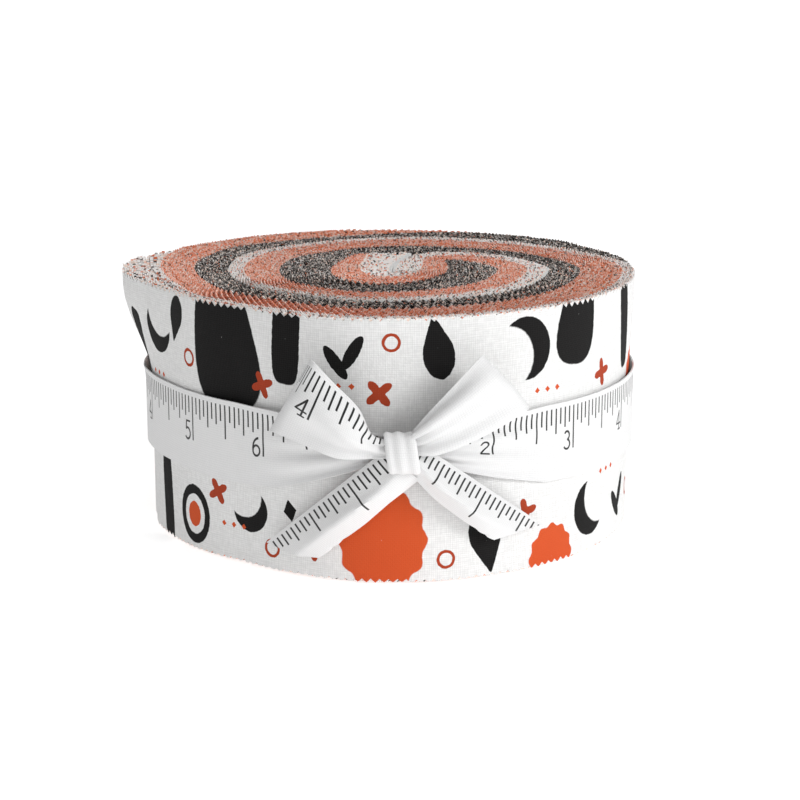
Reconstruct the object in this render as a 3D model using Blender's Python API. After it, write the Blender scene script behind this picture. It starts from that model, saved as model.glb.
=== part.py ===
"""A roll of folded quilting strips, tied round the waist with one flat ribbon in a bow.

All sizes below are in millimetres; MM turns them into Blender's metres. The roll stands on z = 0 with its
axis on the origin, the bow faces -Y, and angles run anticlockwise from +X as seen from above.
"""

import math

import bpy
import numpy as np

MM = 0.001

# The roll: a strip's cut width is its height, and about 40 folded strips wound up give its radius.
STRIP_WIDTH = 63.5
ROLL_RADIUS = 64.5
FOOT_CHAMFER = 1.2

# Outline of the wall, going round. The roll is round except at its front left, where the outer strips end and
# the ribbon draws them in. There the loose rim flares out over the body.
WALL_OUTLINE = [
    # angle, rim_radius, body_radius
    (0.0, 65.5, 64.5),
    (20.0, 66.6, 64.8),
    (55.0, 67.4, 65.4),
    (80.0, 66.0, 65.0),
    (110.0, 64.8, 64.0),
    (140.0, 64.2, 61.5),
    (160.0, 64.8, 59.0),
    (172.0, 65.8, 58.4),
    (180.0, 66.2, 58.4),
    (188.0, 63.6, 58.4),
    (197.0, 60.2, 58.2),
    (210.0, 57.6, 57.4),
    (222.0, 58.4, 57.6),
    (236.0, 60.2, 58.2),
    (245.0, 61.4, 59.8),
    (255.0, 64.0, 61.8),
    (266.0, 65.2, 63.4),
    (280.0, 65.0, 64.5),
    (330.0, 64.5, 64.5),
    (360.0, 65.5, 64.5),
]
WALL_HEIGHTS = (0.0, 1.2, 7.0, 15.0, 24.0, 38.0, 45.0, 51.0, 57.0, 62.3, 63.5)
FLARE_START = 38.0
FLARE_END = 62.0

# The spiral on top. The stack of strips is wound outwards, clockwise as seen from above, and this is how far
# its inner face is from the axis after each part of a turn. The start is tucked in under the first turn.
WINDING = [
    # turns, face_radius
    (0.000, 24.7),
    (0.250, 25.0),
    (0.375, 21.5),
    (0.500, 18.5),
    (0.625, 20.5),
    (0.750, 26.0),
    (0.833, 31.0),
    (0.917, 41.0),
    (1.000, 44.0),
    (1.250, 42.0),
    (1.375, 38.5),
    (1.500, 38.0),
    (1.625, 44.5),
    (1.750, 52.0),
    (1.833, 57.0),
    (1.917, 60.5),
    (2.000, 63.0),
]
CORE_RADIUS = 9.0
TURN_GROOVE = 2.2
LAYER_GROOVE = 0.9
LAYER_SHARES = (0.38, 0.80)

# The outermost strip's free end, one sheet that lies on the roll.
SHEET = 1.0
GAP = 0.3
END_ANGLE = 195.0
END_ROOT_ANGLE = 240.0
END_FADE_ANGLE = 120.0

# The ribbon, 3/4 inch wide, gathers from its full width into the knot.
RIBBON_WIDTH = 19.05
BAND_EDGES = [
    # angle, lower_edge, upper_edge, thickness
    (0.0, 20.6, 39.7, 1.0),
    (236.0, 20.4, 39.9, 1.0),
    (248.0, 21.4, 39.6, 1.0),
    (258.0, 24.6, 38.8, 1.1),
    (267.0, 28.0, 37.2, 1.3),
    (275.7, 29.4, 36.2, 1.5),
    (284.4, 28.0, 37.2, 1.3),
    (295.0, 24.6, 38.8, 1.1),
    (308.0, 21.2, 39.7, 1.0),
    (320.0, 20.6, 39.7, 1.0),
    (360.0, 20.6, 39.7, 1.0),
]
KNOT_X = 6.4
KNOT_Z = 32.7
KNOT_SIZE = (6.8, 5.2, 8.8)
KNOT_BACK_LIFT = 1.9
KNOT_ROUNDNESS = 0.55

# Each bow loop leaves the knot, turns over at its tip and comes back behind itself.
LOOP_SECTIONS = [
    # share_of_reach, stand_off
    (0.00, 6.0),
    (0.16, 7.9),
    (0.40, 10.0),
    (0.66, 10.8),
    (0.86, 10.2),
    (0.97, 8.4),
    (1.00, 6.6),
    (0.96, 4.9),
    (0.84, 3.7),
    (0.60, 3.2),
    (0.34, 3.3),
    (0.14, 3.8),
    (0.00, 4.2),
]

# Tails lie down the wall. Across a tail, the share runs from its upper edge to its lower edge, and past the
# fold the cloth turns in towards the roll.
TAIL_STATIONS = 9
TAIL_ACROSS = [
    # share_across, lift_from_fold
    (0.0, 0.0),
    (0.3, 0.7),
    (0.58, 1.1),
    (0.78, 0.5),
    (1.0, -0.2),
]

ANGLE_STEPS = 84
TOP_RINGS = 30
ACROSS_STEPS = 4

FABRIC_WHITE = (0.80, 0.81, 0.83)
FABRIC_MIXED = (0.42, 0.27, 0.23)
RIBBON_WHITE = (0.86, 0.86, 0.86)


def clear_objects():
    for old in list(bpy.data.objects):
        bpy.data.objects.remove(old, do_unlink=True)


def cloth_material(name, colour, roughness):
    material = bpy.data.materials.new(name)
    material.use_nodes = True
    shader = material.node_tree.nodes["Principled BSDF"]
    shader.inputs["Base Color"].default_value = (*colour, 1.0)
    shader.inputs["Roughness"].default_value = roughness
    shader.inputs["Metallic"].default_value = 0.0
    return material


def column(table, index):
    return [row[index] for row in table]


def smooth_step(value):
    value = min(max(value, 0.0), 1.0)
    return value * value * (3.0 - 2.0 * value)


def wall_radius(angle, height):
    """Radius of the outermost cloth at a place on the wall."""
    angles = column(WALL_OUTLINE, 0)
    rim = np.interp(angle % 360.0, angles, column(WALL_OUTLINE, 1))
    body = np.interp(angle % 360.0, angles, column(WALL_OUTLINE, 2))
    flare = smooth_step((height - FLARE_START) / (FLARE_END - FLARE_START))
    chamfer = max(FOOT_CHAMFER - height, 0.0)
    return float(body + (rim - body) * flare - chamfer)


def bed_depth(angle):
    """How far the roll lies in under its outermost strip, which ends at END_ANGLE."""
    angle %= 360.0
    if angle >= END_ANGLE:
        ramp = (END_ROOT_ANGLE - angle) / 4.0
    else:
        ramp = (angle - END_FADE_ANGLE) / (END_ANGLE - END_FADE_ANGLE)
    return (SHEET + GAP) * min(max(ramp, 0.0), 1.0)


def polar(angle, radius, height):
    turn = math.radians(angle)
    return (radius * math.cos(turn), radius * math.sin(turn), height)


def on_wall(x, z, lift):
    """The point that stands lift mm off the front of the wall at a given x and z."""
    radius = ROLL_RADIUS
    for _ in range(4):
        y = -math.sqrt(max((radius + lift) ** 2 - x * x, 1.0))
        radius = wall_radius(math.degrees(math.atan2(y, x)), z)
    y = -math.sqrt(max((radius + lift) ** 2 - x * x, 1.0))
    return (x, y, z)


def turns_wound(x, y):
    """How many turns of the stack lie inside a place on the top, counted with its share of the next one."""
    across = math.hypot(x, y)
    clockwise = (-math.atan2(y, x) / (2.0 * math.pi)) % 1.0
    faces = [np.interp(clockwise + turn, column(WINDING, 0), column(WINDING, 1)) for turn in (0, 1)]
    if across < faces[0]:
        return across / faces[0] - 1.0
    return (across - faces[0]) / (faces[1] - faces[0])


def spiral_groove(x, y):
    """Depth of the line between one turn of the stack and the next, and of the two lines within a turn."""
    turns = turns_wound(x, y)
    depth = TURN_GROOVE * math.cos(math.pi * turns) ** 12
    for share in LAYER_SHARES:
        depth = max(depth, LAYER_GROOVE * math.cos(math.pi * (turns - share)) ** 24)
    return depth * min(math.hypot(x, y) / CORE_RADIUS, 1.0)


def mesh_object(name, vertices, faces, material):
    mesh = bpy.data.meshes.new(name)
    scaled = [tuple(value * MM for value in vertex) for vertex in vertices]
    mesh.from_pydata(scaled, [], faces)
    mesh.validate()
    piece = bpy.data.objects.new(name, mesh)
    bpy.context.scene.collection.objects.link(piece)
    piece.data.materials.append(material)
    face_outward(piece)
    return piece


def face_outward(piece):
    bpy.context.view_layer.objects.active = piece
    piece.select_set(True)
    bpy.ops.object.mode_set(mode="EDIT")
    bpy.ops.mesh.select_all(action="SELECT")
    bpy.ops.mesh.normals_make_consistent(inside=False)
    bpy.ops.object.mode_set(mode="OBJECT")
    piece.select_set(False)


def bridge_rings(first, second, count):
    """Quads between two closed rings of points, given their first indices."""
    faces = []
    for step in range(count):
        after = (step + 1) % count
        faces.append((first + step, first + after, second + after, second + step))
    return faces


def fabric_roll(material):
    """The wound stack as one solid: its uneven wall, its flat foot and its spiral top."""
    angles = [360.0 * step / ANGLE_STEPS for step in range(ANGLE_STEPS)]
    vertices = []
    faces = []
    for height in WALL_HEIGHTS:
        for angle in angles:
            radius = wall_radius(angle, height) - bed_depth(angle)
            vertices.append(polar(angle, radius, height))
    for ring in range(1, TOP_RINGS):
        for angle in angles:
            edge = wall_radius(angle, STRIP_WIDTH) - bed_depth(angle)
            x, y, z = polar(angle, edge * (1.0 - ring / TOP_RINGS), STRIP_WIDTH)
            vertices.append((x, y, z - spiral_groove(x, y)))
    rings = len(vertices) // ANGLE_STEPS
    for ring in range(rings - 1):
        faces += bridge_rings(ring * ANGLE_STEPS, (ring + 1) * ANGLE_STEPS, ANGLE_STEPS)
    centre = len(vertices)
    vertices.append((0.0, 0.0, STRIP_WIDTH - spiral_groove(0.0, 0.0)))
    last = (rings - 1) * ANGLE_STEPS
    for step in range(ANGLE_STEPS):
        faces.append((last + step, last + (step + 1) % ANGLE_STEPS, centre))
    faces.append(tuple(reversed(range(ANGLE_STEPS))))
    return mesh_object("fabric_roll", vertices, faces, material)


def sheet_solid(name, grid, thickness, material):
    """A closed sheet about a grid of its middle points, rows along it and columns across it."""
    grid = np.array(grid, float)
    rows, columns = grid.shape[:2]
    along = np.gradient(grid, axis=0)
    across = np.gradient(grid, axis=1)
    normals = np.cross(along, across)
    normals /= np.linalg.norm(normals, axis=2, keepdims=True)
    front = (grid + normals * thickness / 2.0).reshape(-1, 3)
    back = (grid - normals * thickness / 2.0).reshape(-1, 3)
    vertices = np.vstack([front, back]).tolist()
    behind = rows * columns
    faces = []
    for row in range(rows - 1):
        for col in range(columns - 1):
            a = row * columns + col
            b = a + columns
            faces.append((a, a + 1, b + 1, b))
            faces.append((a + behind, b + behind, b + 1 + behind, a + 1 + behind))
    edge = [col for col in range(columns)]
    edge += [row * columns + columns - 1 for row in range(1, rows)]
    edge += [(rows - 1) * columns + col for col in range(columns - 2, -1, -1)]
    edge += [row * columns for row in range(rows - 2, 0, -1)]
    for here, there in zip(edge, edge[1:] + edge[:1]):
        faces.append((here, here + behind, there + behind, there))
    return mesh_object(name, vertices, faces, material)


def strip_end(material):
    """The outermost strip's free end, from where it leaves the wall to its cut edge."""
    inset = 0.5 * (SHEET + GAP) - 0.15
    grid = []
    for angle in np.linspace(END_ANGLE, END_ROOT_ANGLE - 5.0, 12):
        row = []
        for height in np.linspace(FOOT_CHAMFER, STRIP_WIDTH - FOOT_CHAMFER, 12):
            row.append(polar(angle, wall_radius(angle, height) - inset, height))
        grid.append(row)
    return sheet_solid("strip_end", grid, SHEET, material)


def ribbon_band(material):
    """The ribbon's turn round the waist, which narrows and thickens where it is gathered in the knot."""
    angles = column(BAND_EDGES, 0)
    vertices = []
    shares = [step / ACROSS_STEPS for step in range(ACROSS_STEPS + 1)]
    for step in range(ANGLE_STEPS):
        angle = 360.0 * step / ANGLE_STEPS
        lower = float(np.interp(angle, angles, column(BAND_EDGES, 1)))
        upper = float(np.interp(angle, angles, column(BAND_EDGES, 2)))
        thickness = float(np.interp(angle, angles, column(BAND_EDGES, 3)))
        heights = [lower + share * (upper - lower) for share in shares]
        inner = [(height, GAP) for height in heights]
        outer = [(height, GAP + thickness) for height in reversed(heights)]
        for height, lift in inner + outer:
            vertices.append(polar(angle, wall_radius(angle, height) + lift, height))
    ring = 2 * len(shares)
    faces = []
    for step in range(ANGLE_STEPS):
        faces += bridge_rings(step * ring, (step + 1) % ANGLE_STEPS * ring, ring)
    return mesh_object("ribbon_band", vertices, faces, material)


def bow_knot(material):
    """The turn of ribbon that closes the bow: a small pad with flat sides and rounded edges."""
    front = on_wall(KNOT_X, KNOT_Z, KNOT_BACK_LIFT)
    centre = (KNOT_X, front[1] - KNOT_SIZE[1] / 2.0, KNOT_Z)
    vertices = []
    rings = 9
    steps = 16
    for ring in range(1, rings):
        rise = math.pi * (ring / rings - 0.5)
        for step in range(steps):
            turn = 2.0 * math.pi * step / steps
            unit = (
                math.cos(rise) * math.cos(turn),
                math.cos(rise) * math.sin(turn),
                math.sin(rise),
            )
            rounded = [math.copysign(abs(value) ** KNOT_ROUNDNESS, value) for value in unit]
            size = max(sum(abs(value) ** 4 for value in rounded) ** 0.25, 1.0)
            vertices.append(
                tuple(middle + side * value / size / 2.0
                      for middle, side, value in zip(centre, KNOT_SIZE, rounded))
            )
    faces = []
    for ring in range(rings - 2):
        faces += bridge_rings(ring * steps, (ring + 1) * steps, steps)
    faces.append(tuple(reversed(range(steps))))
    faces.append(tuple(range((rings - 2) * steps, (rings - 1) * steps)))
    return mesh_object("bow_knot", vertices, faces, material)


def bow_loop(name, root, tip, material):
    """A loop between its pinched root and its full-width tip, each given by its upper and lower corner."""
    grid = []
    for share, stand_off in LOOP_SECTIONS:
        opened = share ** 0.75
        row = []
        for step in range(ACROSS_STEPS + 1):
            across = step / ACROSS_STEPS
            start = [a + (b - a) * across for a, b in zip(root[0], root[1])]
            end = [a + (b - a) * across for a, b in zip(tip[0], tip[1])]
            x = start[0] + (end[0] - start[0]) * share
            z = start[1] + (end[1] - start[1]) * (0.35 * opened + 0.65 * share)
            cup = 0.9 * share * math.sin(math.pi * across)
            row.append(on_wall(x, z, stand_off + cup))
        grid.append(row)
    return sheet_solid(name, grid, SHEET, material)


def bow_tail(name, root, tip, root_lift, tip_lift, material):
    """A free end, from its root at the knot to its cut end, with its lower part folded in."""
    grid = []
    for station in np.linspace(0.0, 1.0, TAIL_STATIONS):
        row = []
        for across, fold in TAIL_ACROSS:
            start = [a + (b - a) * across for a, b in zip(root[0], root[1])]
            end = [a + (b - a) * across for a, b in zip(tip[0], tip[1])]
            x = start[0] + (end[0] - start[0]) * station
            z = start[1] + (end[1] - start[1]) * station
            lift = root_lift + (tip_lift - root_lift) * station
            row.append(on_wall(x, z, lift + fold * station))
        grid.append(row)
    return sheet_solid(name, grid, SHEET, material)


def build():
    clear_objects()
    cloth = cloth_material("quilting_cotton", FABRIC_MIXED, 0.95)
    outer = cloth_material("printed_cotton", FABRIC_WHITE, 0.95)
    ribbon = cloth_material("twill_ribbon", RIBBON_WHITE, 0.8)
    fabric_roll(cloth)
    strip_end(outer)
    ribbon_band(ribbon)
    bow_knot(ribbon)
    # Corners are (x, z): upper first, then lower.
    bow_loop("bow_loop_left", ((2.4, 36.4), (2.4, 31.2)), ((-14.1, 54.3), (-23.5, 38.0)), ribbon)
    bow_loop("bow_loop_right", ((10.4, 39.0), (10.4, 34.6)), ((24.5, 55.3), (35.0, 42.4)), ribbon)
    bow_tail("bow_tail_left", ((0.8, 30.4), (7.6, 26.6)), ((-24.6, 11.6), (-10.2, 8.2)), 3.2, 1.5, ribbon)
    bow_tail("bow_tail_right", ((10.8, 33.0), (9.8, 26.4)), ((38.4, 15.9), (27.0, 12.1)), 3.4, 1.5, ribbon)


build()
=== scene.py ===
# %% [markdown]
# # A roll of quilting strips tied with ribbon
# A fabric shop sells forty strips of matching cotton, each 2 1/2 inches wide with pinked (zigzag) long edges.
# Each strip is folded once, all forty are laid in a stack, and the stack is wound up like a cinnamon bun and
# tied round the waist. This script models each strip as one long cloth, so the spiral on top and the stepped
# ends on the side come from the winding itself.

import math

import bpy
import numpy as np
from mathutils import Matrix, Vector


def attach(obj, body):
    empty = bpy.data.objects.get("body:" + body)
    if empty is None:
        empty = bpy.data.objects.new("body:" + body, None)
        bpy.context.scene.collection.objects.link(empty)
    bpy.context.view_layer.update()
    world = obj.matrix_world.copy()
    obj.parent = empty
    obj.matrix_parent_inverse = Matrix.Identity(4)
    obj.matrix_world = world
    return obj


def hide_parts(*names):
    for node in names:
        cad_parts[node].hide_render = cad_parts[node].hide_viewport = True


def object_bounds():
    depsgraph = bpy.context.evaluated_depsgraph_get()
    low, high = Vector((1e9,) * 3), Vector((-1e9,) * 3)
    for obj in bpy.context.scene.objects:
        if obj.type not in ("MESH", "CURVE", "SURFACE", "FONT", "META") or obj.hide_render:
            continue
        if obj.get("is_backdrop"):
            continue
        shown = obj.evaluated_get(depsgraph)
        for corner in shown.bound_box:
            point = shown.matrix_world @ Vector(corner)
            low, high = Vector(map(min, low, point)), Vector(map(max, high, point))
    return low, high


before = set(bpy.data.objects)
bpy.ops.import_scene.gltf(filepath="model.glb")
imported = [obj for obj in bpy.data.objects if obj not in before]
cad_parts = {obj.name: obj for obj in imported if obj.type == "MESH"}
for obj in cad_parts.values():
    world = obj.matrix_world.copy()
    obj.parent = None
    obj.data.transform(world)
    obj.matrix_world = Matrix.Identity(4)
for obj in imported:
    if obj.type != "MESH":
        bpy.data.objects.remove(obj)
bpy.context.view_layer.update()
print("frame nodes:", sorted(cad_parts))

# %% [markdown]
# ## Units and the driving sizes
# Blender works in metres. Cloth is easier to think about in millimetres, so every size here is in
# millimetres and is scaled by MM where a mesh is made. Angles round the roll are in degrees, anticlockwise
# from +X as seen from above; the bow faces -Y.

# %% Driving sizes
MM = 0.001
STRIP_WIDTH = 63.5
STRIP_LENGTH = 1192.0
STRIP_COUNT = 40
RIBBON_WIDTH = 19.05
RIBBON_THICKNESS = 0.35
random = np.random.default_rng(7)
print(STRIP_COUNT, "strips of", STRIP_WIDTH, "by", STRIP_LENGTH, "mm, and ribbon", RIBBON_WIDTH, "mm wide")

# %% [markdown]
# ## Node helpers
# The materials are built from a few node groups, which is how one effect serves many cloths. These helpers
# keep that short: one adds a node and fills in its inputs, linking sockets and setting plain values, and
# one makes a group with named sockets.


# %% Node helpers
def fill(tree, node, inputs):
    for key, value in inputs.items():
        if isinstance(value, bpy.types.NodeSocket):
            tree.links.new(value, node.inputs[key])
        else:
            node.inputs[key].default_value = value


def add_node(tree, kind, inputs=None, **settings):
    node = tree.nodes.new("ShaderNode" + kind)
    for key, value in settings.items():
        setattr(node, key, value)
    fill(tree, node, inputs or {})
    return node


# %% Arithmetic nodes
def math_node(tree, operation, *values):
    node = add_node(tree, "Math", operation=operation)
    fill(tree, node, dict(enumerate(values)))
    return node.outputs[0]


def times(tree, first, second):
    return math_node(tree, "MULTIPLY", first, second)


def minus(tree, first, second):
    return math_node(tree, "SUBTRACT", first, second)


def divide(tree, first, second):
    return math_node(tree, "DIVIDE", first, second)


def vector_node(tree, operation, *values):
    """A vector sum, or a plain number from the operations that give one."""
    node = add_node(tree, "VectorMath", dict(enumerate(values)), operation=operation)
    gives_number = operation in ("DOT_PRODUCT", "LENGTH", "DISTANCE")
    return node.outputs["Value" if gives_number else "Vector"]


def split(tree, vector):
    return add_node(tree, "SeparateXYZ", {0: vector}).outputs


def mix_colour(tree, factor, first, second):
    node = add_node(tree, "Mix", data_type="RGBA")
    fill(tree, node, {0: factor, 6: first, 7: second})
    return node.outputs[2]


def step_up(tree, value, low, high):
    """0 below low, 1 above high, smooth between."""
    node = add_node(tree, "MapRange", {"Value": value, "From Min": low, "From Max": high},
                    interpolation_type="SMOOTHSTEP")
    return node.outputs["Result"]


def step_down(tree, value, low, high):
    """1 below low, 0 above high, smooth between."""
    return minus(tree, 1.0, step_up(tree, value, low, high))


# %% Node groups
SOCKETS = {1: "NodeSocketFloat", 3: "NodeSocketVector", 4: "NodeSocketColor"}


def new_group(name, inputs, outputs):
    """A node group with named inputs and outputs. The length of a default gives the kind of socket."""
    tree = bpy.data.node_groups.new(name, "ShaderNodeTree")
    for key, value in inputs.items():
        kind = SOCKETS[np.size(value)]
        tree.interface.new_socket(key, in_out="INPUT", socket_type=kind).default_value = value
    for key, size in outputs.items():
        tree.interface.new_socket(key, in_out="OUTPUT", socket_type=SOCKETS[size])
    entry = tree.nodes.new("NodeGroupInput").outputs
    leave = tree.nodes.new("NodeGroupOutput").inputs
    return tree, entry, leave


def use_group(tree, group, inputs):
    node = add_node(tree, "Group")
    node.node_tree = group
    fill(tree, node, inputs)
    return node.outputs


# %% [markdown]
# ## Camera and light
# Goods like these are best seen from far off through a long lens, which keeps the top's true oval, and from
# a little above the rim. A surround picture could light them, but three soft lamps are easier to tune: a
# large key at the right, and two weaker ones that fill. The floor is white and glows a little, so the roll
# stands in a soft pool of its own shade and nothing else.

# %% Camera
CAMERA_PLACE = (5.9, -520.0, 154.0)
CAMERA_PITCH = math.degrees(0.2364)
CAMERA_LENS = 92.83
SENSOR = 36.0
CAMERA_CLIP = (10.0, 20000.0)


def put(name, data):
    piece = bpy.data.objects.new(name, data)
    bpy.context.scene.collection.objects.link(piece)
    return piece


def add_camera():
    data = bpy.data.cameras.new("camera")
    data.lens = CAMERA_LENS
    data.sensor_fit = "HORIZONTAL"
    data.sensor_width = SENSOR
    data.clip_start, data.clip_end = (distance * MM for distance in CAMERA_CLIP)
    camera = put("camera", data)
    camera.location = Vector(CAMERA_PLACE) * MM
    camera.rotation_euler = (math.radians(90.0 - CAMERA_PITCH), 0.0, 0.0)
    bpy.context.scene.camera = camera
    return camera


add_camera()
print("camera lens", CAMERA_LENS, "mm, pitched down", round(CAMERA_PITCH, 1), "degrees")

# %% Lights and surround
PLAIN_WHITE = (1.0, 1.0, 1.0, 1.0)
LIGHTS = [
    # name, place, size, watts
    ("key_right", (760.0, -520.0, 420.0), 420.0, 4.75),
    ("front_fill", (60.0, -950.0, 420.0), 600.0, 1.1),
    ("top_soft", (60.0, 160.0, 800.0), 700.0, 1.5),
]
LIGHTS_AIM = (0.0, 0.0, 30.0)
SURROUND = 0.29
BACKGROUND = 1.0


def add_light(name, place, size, watts):
    data = bpy.data.lights.new(name, "AREA")
    data.shape = "DISK"
    data.size = size * MM
    data.energy = watts
    light = put(name, data)
    light.location = Vector(place) * MM
    aim = Vector(LIGHTS_AIM) * MM - light.location
    light.rotation_euler = aim.to_track_quat("-Z", "Y").to_euler()
    return light


def add_surround():
    """A pale surround that lights softly but is seen as plain white."""
    world = bpy.data.worlds.new("surround")
    world.use_nodes = True
    tree = world.node_tree
    shade = tree.nodes["Background"]
    shade.inputs["Color"].default_value = PLAIN_WHITE
    seen = add_node(tree, "LightPath").outputs["Is Camera Ray"]
    strength = add_node(tree, "Mix", {"Factor": seen, "A": SURROUND, "B": BACKGROUND})
    tree.links.new(strength.outputs["Result"], shade.inputs["Strength"])
    bpy.context.scene.world = world


for row in LIGHTS:
    add_light(*row)
add_surround()
bpy.context.scene.view_settings.view_transform = "Standard"
bpy.context.scene.view_settings.look = "None"
print("lights:", [row[0] for row in LIGHTS])

# %% Floor
FLOOR_WHITE = (0.9, 0.9, 0.9, 1.0)
FLOOR_GLOW = 0.62
FAR_GLOW = 0.90
FLOOR_SIZE = 6000.0
FLOOR_DROP = 0.3
GLOW_NEAR = 350.0
GLOW_FAR = 800.0


def add_floor():
    """A white floor. Its far part is only seen brighter, so the light on the roll doesn't change."""
    bpy.ops.mesh.primitive_plane_add(size=FLOOR_SIZE * MM, location=(0.0, 0.0, -FLOOR_DROP * MM))
    floor = bpy.context.object
    floor.name = "floor"
    material = bpy.data.materials.new("floor_white")
    material.use_nodes = True
    tree = material.node_tree
    shader = tree.nodes["Principled BSDF"]
    shader.inputs["Base Color"].default_value = FLOOR_WHITE
    shader.inputs["Roughness"].default_value = 1.0
    shader.inputs["Emission Color"].default_value = PLAIN_WHITE
    place = add_node(tree, "TexCoord").outputs["Object"]
    near = add_node(tree, "TexGradient", {"Vector": place}, gradient_type="SPHERICAL")
    far = add_node(tree, "MapRange", {
        "Value": near.outputs["Fac"],
        "From Min": 1.0 - GLOW_NEAR * MM,
        "From Max": 1.0 - GLOW_FAR * MM,
        "To Min": FLOOR_GLOW,
        "To Max": FAR_GLOW,
    })
    seen = add_node(tree, "LightPath").outputs["Is Camera Ray"]
    glow = add_node(tree, "Mix", {"Factor": seen, "A": FLOOR_GLOW, "B": far.outputs["Result"]})
    tree.links.new(glow.outputs["Result"], shader.inputs["Emission Strength"])
    floor.data.materials.append(material)
    floor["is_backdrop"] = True


add_floor()
print("floor glow:", FLOOR_GLOW, "by the roll and", FAR_GLOW, "far off")

# %% [markdown]
# ## The wall
# The roll isn't a perfect drum. At the front left the outer strips end and the ribbon pulls them in, and
# above the ribbon the loose rim flares out again. No one formula gives that, so a table holds the radius of
# the rim and of the body by angle. A layer near the wall follows it more than one near the core does.

# %% Wall outline
WALL_OUTLINE = [
    # angle, rim_radius, body_radius
    (0.0, 66.6, 65.4),
    (20.0, 67.2, 65.6),
    (55.0, 68.2, 65.8),
    (80.0, 67.4, 65.4),
    (110.0, 66.2, 64.0),
    (140.0, 64.2, 61.5),
    (160.0, 66.0, 59.0),
    (172.0, 67.6, 58.8),
    (180.0, 67.6, 58.8),
    (188.0, 65.6, 58.8),
    (197.0, 60.2, 58.2),
    (210.0, 57.6, 57.4),
    (222.0, 58.4, 57.6),
    (236.0, 60.2, 58.2),
    (245.0, 61.4, 59.8),
    (255.0, 64.0, 61.8),
    (266.0, 65.2, 63.4),
    (280.0, 65.0, 64.5),
    (330.0, 65.0, 64.8),
    (360.0, 66.6, 65.4),
]
FLARE_START = 36.0
FLARE_END = 60.0
RIM_SOFT = 0.972
print("wall outline:", len(WALL_OUTLINE), "angles")


# %% Wall radius
def column(table, index):
    return np.array([row[index] for row in table], float)


def smooth_step(value):
    value = np.clip(value, 0.0, 1.0)
    return value * value * (3.0 - 2.0 * value)


def wall_radius(angle, height):
    """Radius of the outermost cloth. Both inputs may be arrays of one shape."""
    angle = np.asarray(angle, float) % 360.0
    rim = np.interp(angle, column(WALL_OUTLINE, 0), column(WALL_OUTLINE, 1))
    body = np.interp(angle, column(WALL_OUTLINE, 0), column(WALL_OUTLINE, 2))
    flare = smooth_step((np.asarray(height, float) - FLARE_START) / (FLARE_END - FLARE_START))
    return body + (rim - body) * flare


def settle(plan, height):
    """Moves plan points to where they lie at a given height, easing any past the rim to just inside it."""
    angle = np.degrees(np.arctan2(plan[:, 1], plan[:, 0])) % 360.0
    radius = np.linalg.norm(plan, axis=1)
    rim = wall_radius(angle, STRIP_WIDTH)
    share = radius / rim
    past = np.maximum(share - RIM_SOFT, 0.0) / (1.0 - RIM_SOFT)
    kept = np.where(past > 0.0, RIM_SOFT + (1.0 - RIM_SOFT) * (1.0 - np.exp(-past)), share)
    drawn = kept * rim * (1.0 + (wall_radius(angle, height) / rim - 1.0) * kept**3)
    return plan * (drawn / np.maximum(radius, 1e-6))[:, None]


for bearing in (0.0, 180.0, 270.0):
    print("rim radius at", bearing, "degrees:", round(float(wall_radius(bearing, STRIP_WIDTH)), 1), "mm")


# %% [markdown]
# ## The shape of the winding
# Seen from above, the stack starts tucked in on itself at the core, turns back round its own end, and then
# winds outward clockwise. A plain spiral would miss that tuck, so two short tables hold the path. Each row
# is one place along the stack, with its inner face, its outer back, and where between them the rust strips
# and the white strips start: black strips are innermost. Every strip keeps its own place in the stack from
# end to end.

# %% The tucked start of the stack
TUCKED_START = [
    # face_x, face_y, back_x, back_y, rust_from, white_from
    (-6.5, 25.5, 9.6, 27.4, 0.14, 0.32),
    (-11.0, 21.5, 8.0, 21.5, 0.22, 0.42),
    (-14.5, 16.5, 6.3, 15.5, 0.28, 0.53),
    (-18.5, 1.0, 4.0, 3.5, 0.30, 0.63),
    (-14.5, -15.0, 3.9, -1.5, 0.29, 0.66),
    (0.0, -25.0, 4.0, -3.4, 0.27, 0.68),
    (14.5, -19.5, 4.1, -1.5, 0.29, 0.66),
    (22.5, -8.0, 4.2, 2.5, 0.30, 0.64),
    (23.6, 3.0, 4.6, 7.5, 0.28, 0.64),
    (20.6, 10.0, 6.4, 15.5, 0.20, 0.62),
    (18.7, 12.4, 9.8, 23.0, 0.12, 0.60),
    (19.0, 12.9, 16.5, 27.4, 0.12, 0.62),
    (19.6, 12.5, 28.5, 25.0, 0.16, 0.68),
    (22.3, 8.5, 38.3, 15.5, 0.26, 0.72),
]
print("tucked places:", len(TUCKED_START))

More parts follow.
